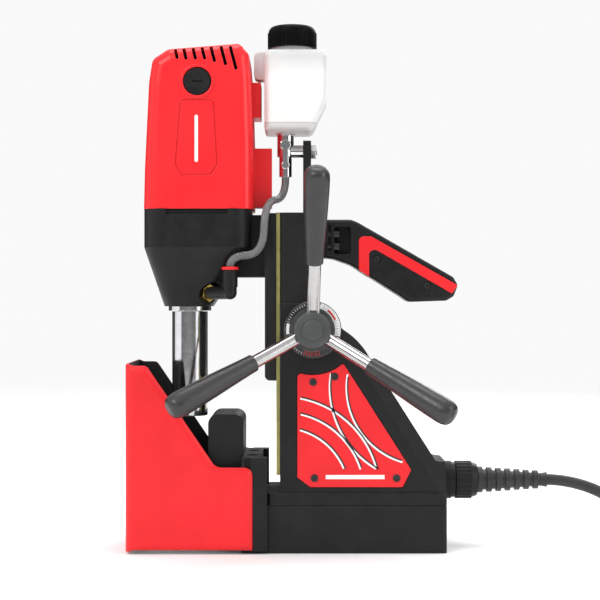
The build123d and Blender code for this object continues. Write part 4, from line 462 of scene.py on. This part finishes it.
# ---- camera, floor and light ---------------------------------------------------------
def camera():
    """Level camera looking along +Y at the machine's near side."""
    lens = bpy.data.cameras.new("camera")
    lens.lens, lens.sensor_width = 97.5, 36
    lens.clip_end = 50
    eye = bpy.data.objects.new("camera", lens)
    eye.location = (-0.034, -1.3, 0.196)
    eye.rotation_euler = (pi / 2, 0, 0)
    bpy.context.collection.objects.link(eye)
    bpy.context.scene.camera = eye


FLOOR_RADIUS = 3.0
FLOOR_FADE = (0.3, 0.98)


def floor():
    """Pale matt floor that fades out at its rim, so no line shows where it ends."""
    mesh = mesh_from("floor", lambda bm: bmesh.ops.create_circle(bm, cap_ends=True, segments=128,
                                                                 radius=FLOOR_RADIUS))
    plane = bpy.data.objects.new("floor", mesh)
    bpy.context.collection.objects.link(plane)
    pale = Recipe("pale_floor", (0.97, 0.97, 0.97), 0.7, bevel=0, Specular_IOR_Level=0.1)
    pale.tint((0.962, 0.962, 0.962), 400)
    from_middle = pale.vector_math("LENGTH", pale.place, output="Value")
    fade = pale.ranged(from_middle, 1, 0, *(FLOOR_RADIUS * part for part in FLOOR_FADE))
    pale.links.new(fade, pale.shader.inputs["Alpha"])
    plane.data.materials.append(pale.made)
    plane.location.z = -0.0004


def soft_light(name, place, target, size, power):
    """Rectangular soft box aimed at a point."""
    lamp = bpy.data.lights.new(name, "AREA")
    lamp.shape = "RECTANGLE"
    lamp.size, lamp.size_y = size
    lamp.energy = power
    holder = bpy.data.objects.new(name, lamp)
    holder.location = place
    holder.rotation_euler = (Vector(target) - Vector(place)).to_track_quat("-Z", "Y").to_euler()
    bpy.context.collection.objects.link(holder)


# brightness round the room, from -X through -Y, +X and +Y: soft boxes where it's about 1, walls where dark
ROOM_SHADES = ((0.0, 1.1), (0.085, 1.1), (0.11, 0.16), (0.25, 0.24), (0.355, 0.14), (0.38, 1.2),
               (0.445, 1.2), (0.47, 0.04), (0.70, 0.10), (0.935, 0.05), (0.96, 1.0))
CEILING_RISE = (0.2, 0.55)
AIM = (-0.04, 0, 0.2)
LIGHTS = (("key_light", (-1.1, -1.5, 1.35), (0.9, 0.9), 17), ("side_light", (1.5, -0.9, 0.8), (0.5, 1.2), 7),
          ("top_light", (0.0, 0.1, 1.7), (1.0, 0.7), 9), ("back_light", (0.6, 1.5, 1.1), (1.0, 0.8), 10))


def mirrored_room(nodes, links):
    """Background that reflections show: darker walls between soft boxes, under a pale ceiling."""
    apart = nodes.new("ShaderNodeSeparateXYZ")
    links.new(nodes.new("ShaderNodeTexCoord").outputs["Generated"], apart.inputs["Vector"])
    angle = nodes.new("ShaderNodeMath")
    angle.operation = "ARCTAN2"
    links.new(apart.outputs["Y"], angle.inputs[0])
    links.new(apart.outputs["X"], angle.inputs[1])
    walls = nodes.new("ShaderNodeValToRGB")
    for _ in ROOM_SHADES[2:]:
        walls.color_ramp.elements.new(0.5)
    for element, (spot, shade) in zip(walls.color_ramp.elements, ROOM_SHADES):
        element.position = spot
        element.color = (shade, shade, shade, 1)
    links.new(map_range(nodes, links, angle.outputs["Value"], -pi, pi, 0, 1), walls.inputs["Fac"])
    lit = nodes.new("ShaderNodeMix")
    lit.data_type = "RGBA"
    lit.inputs["B"].default_value = (0.85, 0.85, 0.86, 1)
    links.new(map_range(nodes, links, apart.outputs["Z"], *CEILING_RISE, 0, 1), lit.inputs["Factor"])
    links.new(walls.outputs["Color"], lit.inputs["A"])
    room = nodes.new("ShaderNodeBackground")
    links.new(lit.outputs["Result"], room.inputs["Color"])
    return room


def studio():
    """Pale surroundings and four soft boxes, with the mirrored room in reflections only."""
    world = bpy.data.worlds.new("studio")
    bpy.context.scene.world = world
    world.use_nodes = True
    nodes, links = world.node_tree.nodes, world.node_tree.links
    sky = nodes["Background"]
    sky.inputs["Color"].default_value = (0.97, 0.972, 0.975, 1)
    sky.inputs["Strength"].default_value = 0.98
    both = nodes.new("ShaderNodeMixShader")
    links.new(nodes.new("ShaderNodeLightPath").outputs["Is Glossy Ray"], both.inputs["Fac"])
    links.new(sky.outputs["Background"], both.inputs[1])
    links.new(mirrored_room(nodes, links).outputs["Background"], both.inputs[2])
    links.new(both.outputs["Shader"], nodes["World Output"].inputs["Surface"])
    for name, place, size, power in LIGHTS:
        soft_light(name, place, AIM, size, power)
    bpy.context.scene.view_settings.view_transform = "Standard"


camera()
floor()
studio()


# ---- mains cord ------------------------------------------------------------------------
CORD_RADIUS = 0.0045
COIL_X, COIL_Y = 0.296, 0.010
CORD_ROUTE = [(0.163, 0, 0.0525), (0.176, 0, 0.0522), (0.200, -0.002, 0.046), (0.221, -0.009, 0.034),
              (0.240, -0.020, 0.0205), (0.258, -0.033, 0.0095), (0.276, -0.0435, 0.0048)]
CORD_END = [(COIL_X - 0.0585, COIL_Y + 0.004, 0.0255), (COIL_X - 0.054, COIL_Y - 0.018, 0.0315),
            (COIL_X - 0.041, COIL_Y - 0.033, 0.037), (COIL_X - 0.020, COIL_Y - 0.040, 0.039)]
# radius and height of each turn in millimetres, wound from the outside in, up, and back out
TURNS = [(59, 4.6), (50, 4.6), (41, 4.6), (41, 13.6), (41, 22.6), (50, 22.6), (50, 13.6), (59, 13.6),
         (59, 22.6)]
COIL_START, COIL_END, POINTS_PER_TURN = radians(-90), radians(157 + 360 * 8), 16
# part of a turn after which the cord moves over to the next turn
KEEP_UNTIL = 0.55


def coil_points():
    """Points round the coil: a turn keeps its place, then eases over to the next one."""
    points, swept = [], COIL_END - COIL_START
    count = round(swept / tau * POINTS_PER_TURN)
    for i in range(count + 1):
        along = swept * i / count
        turn = min(int(along / tau), len(TURNS) - 1)
        part = along / tau - turn
        ease = max(0.0, (part - KEEP_UNTIL) / (1 - KEEP_UNTIL))
        ease = ease * ease * (3 - 2 * ease)
        one, two = TURNS[turn], TURNS[min(turn + 1, len(TURNS) - 1)]
        across = (one[0] + (two[0] - one[0]) * ease) * MM
        up = (one[1] + (two[1] - one[1]) * ease) * MM
        angle = COIL_START + along
        points.append((COIL_X + across * cos(angle), COIL_Y + across * sin(angle), up))
    return points


def mains_cord():
    """Black lead, stated as three metres, from the strain relief round the coil to its plug."""
    curve = spline_curve("mains_lead", CORD_ROUTE + coil_points() + CORD_END, CORD_RADIUS)
    curve.materials.append(MATERIALS["black_rubber"])
    lead = bpy.data.objects.new("mains_lead", curve)
    bpy.context.collection.objects.link(lead)
    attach(lead, "frame")
    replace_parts(lead, "mains_cord", "cord_coil")


# ---- coolant hose ------------------------------------------------------------------------
HOSE_RADIUS = 0.003
TAP_X = -0.0456
HOSE_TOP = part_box("coolant_hose")[1][2]


def coolant_hose():
    """Clear hose from the push-in elbow up to the tap."""
    low, high = (Vector(corner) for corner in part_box("collet_ring"))
    elbow = (low + high) / 2
    route = [(elbow.x, elbow.y, high.z), (elbow.x, elbow.y, 0.2300), (-0.0625, -0.0372, 0.2315),
             (-0.0613, -0.0356, 0.2730), (TAP_X, 0, 0.2770), (TAP_X, 0, HOSE_TOP)]
    line = sampled_line("hose_line", route, 14)
    mesh = mesh_from("hose", lambda bm: tube(bm, line, HOSE_RADIUS, 28), smooth=True)
    hose = bpy.data.objects.new("coolant_hose_tube", mesh)
    bpy.context.collection.objects.link(hose)
    mesh.materials.append(MATERIALS["grey_hose"])
    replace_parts(hose, "coolant_hose")
    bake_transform(hose)


mains_cord()
coolant_hose()


# ---- capstan: turned rods and grips ---------------------------------------------------------
HUB_X, HUB_Z = -0.0243, 0.173
HUB = Vector((HUB_X, -0.050, HUB_Z))
ARM_LEAN, ARM_TURN = radians(25.0), -1.4
# each point of a profile is a distance from the hub along the arm, and a radius
ROD_PROFILE = [(0.011, 0), (0.011, 0.005), (0.060, 0.005), (0.060, 0)]
GRIP_PROFILE = [(0.0560, 0.0050), (0.0560, 0.0061), (0.0566, 0.0067), (0.0600, 0.0068), (0.0700, 0.0073),
                (0.0850, 0.0082), (0.1000, 0.0090), (0.1150, 0.0096), (0.1240, 0.0098), (0.1280, 0.0094),
                (0.1310, 0.0083), (0.1328, 0.0062), (0.1335, 0.0035), (0.1336, 0.0)]


def arm_axis(arm):
    """Direction of one arm, out of the hub and leaning towards the user."""
    turn = radians(90 + 120 * arm + ARM_TURN)
    return Vector((cos(turn) * cos(ARM_LEAN), -sin(ARM_LEAN), sin(turn) * cos(ARM_LEAN)))


def lathe(bm, origin, axis, profile, sides=64):
    """A profile of (distance along the axis, radius) turned round the axis."""
    across = axis.orthogonal().normalized()
    beside = axis.cross(across)
    rings = []
    for along, radius in profile:
        at = origin + axis * along
        rings.append(ring(bm, at, across, beside, radius, sides) if radius else [bm.verts.new(at)])
    for one, two in zip(rings, rings[1:]):
        for k in range(sides):
            corners = [one[k % len(one)], one[(k + 1) % len(one)], two[(k + 1) % len(two)], two[k % len(two)]]
            bm.faces.new(list(dict.fromkeys(corners)))


CREASE = radians(32)


def sharpen(mesh):
    """Smooth shading, with creases at sharp angles."""
    for face in mesh.polygons:
        face.use_smooth = True
    bm = bmesh.new()
    bm.from_mesh(mesh)
    for edge in bm.edges:
        edge.smooth = len(edge.link_faces) == 2 and edge.calc_face_angle() < CREASE
    bm.to_mesh(mesh)
    bm.free()
    return mesh


def capstan():
    """Three brushed rods with tapered grips."""
    for name, node, profile, material, slot in (
            ("turned_rods", "capstan_rods", ROD_PROFILE, BRUSHED, "chrome"),
            ("turned_grips", "capstan_grips", GRIP_PROFILE, MATERIALS["grip_plastic"], "grip_plastic")):
        mesh = mesh_from(name, lambda bm: [lathe(bm, HUB, arm_axis(arm), profile) for arm in range(3)])
        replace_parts(add_piece(name, sharpen(mesh), "capstan", material), node)


capstan()


# ---- flat prints and raised details ----------------------------------------------------------
def prism(bm, outline, near, far):
    """Closed outline in X and Z, as a slab from y = near to y = far."""
    front = [bm.verts.new((x, near, z)) for x, z in outline]
    back = [bm.verts.new((x, far, z)) for x, z in outline]
    bm.faces.new(front)
    bm.faces.new(back[::-1])
    for k in range(len(outline)):
        after = (k + 1) % len(outline)
        bm.faces.new((front[k], back[k], back[after], front[after]))


def arc(centre, radius, start, stop, steps=40):
    """Points on an arc in X and Z, with angles in degrees from +X towards +Z."""
    return [(centre[0] + radius * cos(radians(start + (stop - start) * k / steps)),
             centre[1] + radius * sin(radians(start + (stop - start) * k / steps))) for k in range(steps + 1)]


def strip(bm, centre, width, near, far):
    """A band built as a row of four-sided blocks, which keeps every face flat."""
    for one, two in zip(centre, centre[1:]):
        length = sqrt((two[0] - one[0]) ** 2 + (two[1] - one[1]) ** 2)
        side = (-(two[1] - one[1]) / length * width / 2, (two[0] - one[0]) / length * width / 2)
        prism(bm, [(one[0] + side[0], one[1] + side[1]), (one[0] - side[0], one[1] - side[1]),
                   (two[0] - side[0], two[1] - side[1]), (two[0] + side[0], two[1] + side[1])], near, far)


# how far print stands off a face, and how far it reaches behind it
INK, ROOT = 0.00012, 0.0002
PLATE_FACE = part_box("name_plate")[0][1]
# a point on each straight edge of the plate, and the way out across it
PLATE_EDGES = [((-0.0360, 0.100), (-1, 0)), ((0, 0.0510), (0, -1)), ((-0.0260, 0.0510), (-0.600, -0.800)),
               ((0.0522, 0.0644), (0.844, 0.536)), ((0.0522, 0.0644), (0.894, -0.447))]
# radius of the plate's hollow top edge round the hub, height above which the bows stay, and their margin
PLATE_ARC, BOW_FLOOR, MARGIN = 0.0345, 0.0645, 0.0018
# centre, radii, and first and last angle of each family of bows
BOWS = (((-0.048, 0.045), (0.052, 0.064, 0.076), -10, 100), ((0.062, 0.128), (0.060, 0.073), 170, 290))
BAR = [(-0.0140, 0.0572), (0.0315, 0.0572), (0.0315, 0.0604), (-0.0140, 0.0604)]


def on_plate(point):
    """Whether a point (x, z) lies on the name plate, inside its edges and over its bar."""
    inside = all((point[0] - x) * out_x + (point[1] - z) * out_z < -MARGIN
                 for (x, z), (out_x, out_z) in PLATE_EDGES)
    from_hub = hypot(point[0] - HUB.x, point[1] - HUB.z)
    return inside and point[1] > BOW_FLOOR and from_hub > PLATE_ARC + MARGIN


def bows(bm, width, lift, shift=0.0):
    """Two crossing families of concentric bows, as far as they lie on the plate."""
    for centre, radii, start, stop in BOWS:
        for radius in radii:
            moved = [(x + shift, z + shift) for x, z in arc(centre, radius, start, stop, 90)]
            for one, two in zip(moved, moved[1:]):
                if on_plate(one) and on_plate(two):
                    strip(bm, [one, two], width, PLATE_FACE - lift, PLATE_FACE + ROOT)


def plate_print():
    """Generic bows in white with black beside them, and a plain white bar."""
    def white(bm):
        bows(bm, 0.0014, INK)
        prism(bm, BAR, PLATE_FACE - INK, PLATE_FACE + ROOT)

    def black(bm):
        bows(bm, 0.0011, 1.5 * INK, 0.0009)

    for name, build, ink in (("plate_white_print", white, WHITE_INK),
                             ("plate_black_print", black, BLACK_INK)):
        add_piece(name, mesh_from(name, build), "frame", ink)


# distance out of the motor's side and radius; the ring's root lies RIM_ROOT under the side
RIM_HEIGHT, RIM_ROOT = 0.0009, 0.002
CAP_RIM = [(-RIM_ROOT, 0.0112), (RIM_HEIGHT, 0.0114), (RIM_HEIGHT, 0.0126), (-RIM_ROOT, 0.0132)]


def cap_rims():
    """Raised ring round each brush cap, in a lighter red that is a painted highlight."""
    low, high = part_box("brush_caps")
    centre = Vector(((low[0] + high[0]) / 2, 0, (low[2] + high[2]) / 2))
    side = -low[1] - RIM_HEIGHT

    def rims(bm):
        for way in (-1, 1):
            lathe(bm, centre + Vector((0, way * side, 0)), Vector((0, way, 0)), CAP_RIM + CAP_RIM[:1], 72)

    add_piece("cap_rims", sharpen(mesh_from("cap_rims", rims)), "carriage", HIGHLIT_RED_RIM)


MOTOR_SIDE, BADGE_LIFT = 0.039, 0.00015
BADGE_X, BADGE_LOW, BADGE_HIGH, BADGE_RADIUS = -0.1145, 0.3045, 0.3385, 0.0013


def badges():
    """Plain white bar with round ends on each side of the motor."""
    def bars(bm):
        prism(bm, outline, -MOTOR_SIDE - BADGE_LIFT, -MOTOR_SIDE + ROOT)
        prism(bm, outline, MOTOR_SIDE - ROOT, MOTOR_SIDE + BADGE_LIFT)

    outline = (arc((BADGE_X, BADGE_HIGH), BADGE_RADIUS, 0, 180, 12)
               + arc((BADGE_X, BADGE_LOW), BADGE_RADIUS, 180, 360, 12))
    add_piece("badge_bars", mesh_from("badge_bars", bars), "carriage", WHITE_INK)


# place, thickness and outline of the near-black sheets of painted shade behind the cooling slots
SHADE_SHEET_Y, SHADE_SHEET_HALF = 0.0340, 0.0004
SHADE_SHEET_OUTLINE = [(-0.1350, 0.3790), (-0.0800, 0.3785), (-0.0790, 0.3880), (-0.0860, 0.3915),
                  (-0.1330, 0.3865)]


def slot_shade_sheets():
    """Near-black sheets inside the housing, behind the cooling slots: painted shade that keeps the slots
    dark.
    """
    def shade_sheets(bm):
        for y in (-SHADE_SHEET_Y, SHADE_SHEET_Y):
            prism(bm, SHADE_SHEET_OUTLINE, y - SHADE_SHEET_HALF, y + SHADE_SHEET_HALF)

    add_piece("slot_shade_sheets", mesh_from("slot_shade_sheets", shade_sheets), "carriage", CAP_BLACK)


DIAL = (HUB_X, HUB_Z)
DIAL_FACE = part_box("dial_ring")[0][1]
# how far the band, the marks on it and the red bar over them stand off the dial
BAND_LIFT, MARK_LIFT, BAR_LIFT = 0.0001, 0.0002, 0.0003


def dial_arc(bm, radius, start, stop, width, lift):
    """Printed arc on the dial, with angles in degrees."""
    strip(bm, arc(DIAL, radius, start, stop), width, DIAL_FACE - lift, DIAL_FACE + ROOT)


def dial_ticks(bm, angles, inner, outer, width):
    """Printed ticks across the dial, at angles in degrees."""
    for angle in angles:
        turn = radians(angle)
        strip(bm, [(DIAL[0] + inner * cos(turn), DIAL[1] + inner * sin(turn)),
                   (DIAL[0] + outer * cos(turn), DIAL[1] + outer * sin(turn))],
              width, DIAL_FACE - MARK_LIFT, DIAL_FACE + ROOT)


def dial_scale():
    """Graduated feed scale: white bands, fine ticks on and between them, and red marks."""
    def band(bm):
        dial_arc(bm, 0.0195, -14, 72, 0.0044, BAND_LIFT)
        dial_arc(bm, 0.0192, 166, 190, 0.0024, BAND_LIFT)

    def dark(bm):
        dial_ticks(bm, range(-15, 64, 6), 0.0178, 0.0204, 0.00022)

    def red(bm):
        dial_ticks(bm, range(-110, -73, 6), 0.0182, 0.0204, 0.0006)
        dial_arc(bm, 0.0190, 24, 52, 0.0014, BAR_LIFT)
        dial_arc(bm, 0.0172, -112, -72, 0.0006, MARK_LIFT)

    def pale(bm):
        dial_ticks(bm, [*range(72, 168, 6), *range(196, 246, 6)], 0.0190, 0.0206, 0.00025)

    for name, build, ink in (("dial_band", band, WHITE_INK), ("dial_ticks_dark", dark, BLACK_INK),
                             ("dial_marks_red", red, RED_INK), ("dial_ticks_pale", pale, WHITE_INK)):
        add_piece(name, mesh_from(name, build), "frame", ink)


plate_print()
cap_rims()
badges()
slot_shade_sheets()
dial_scale()
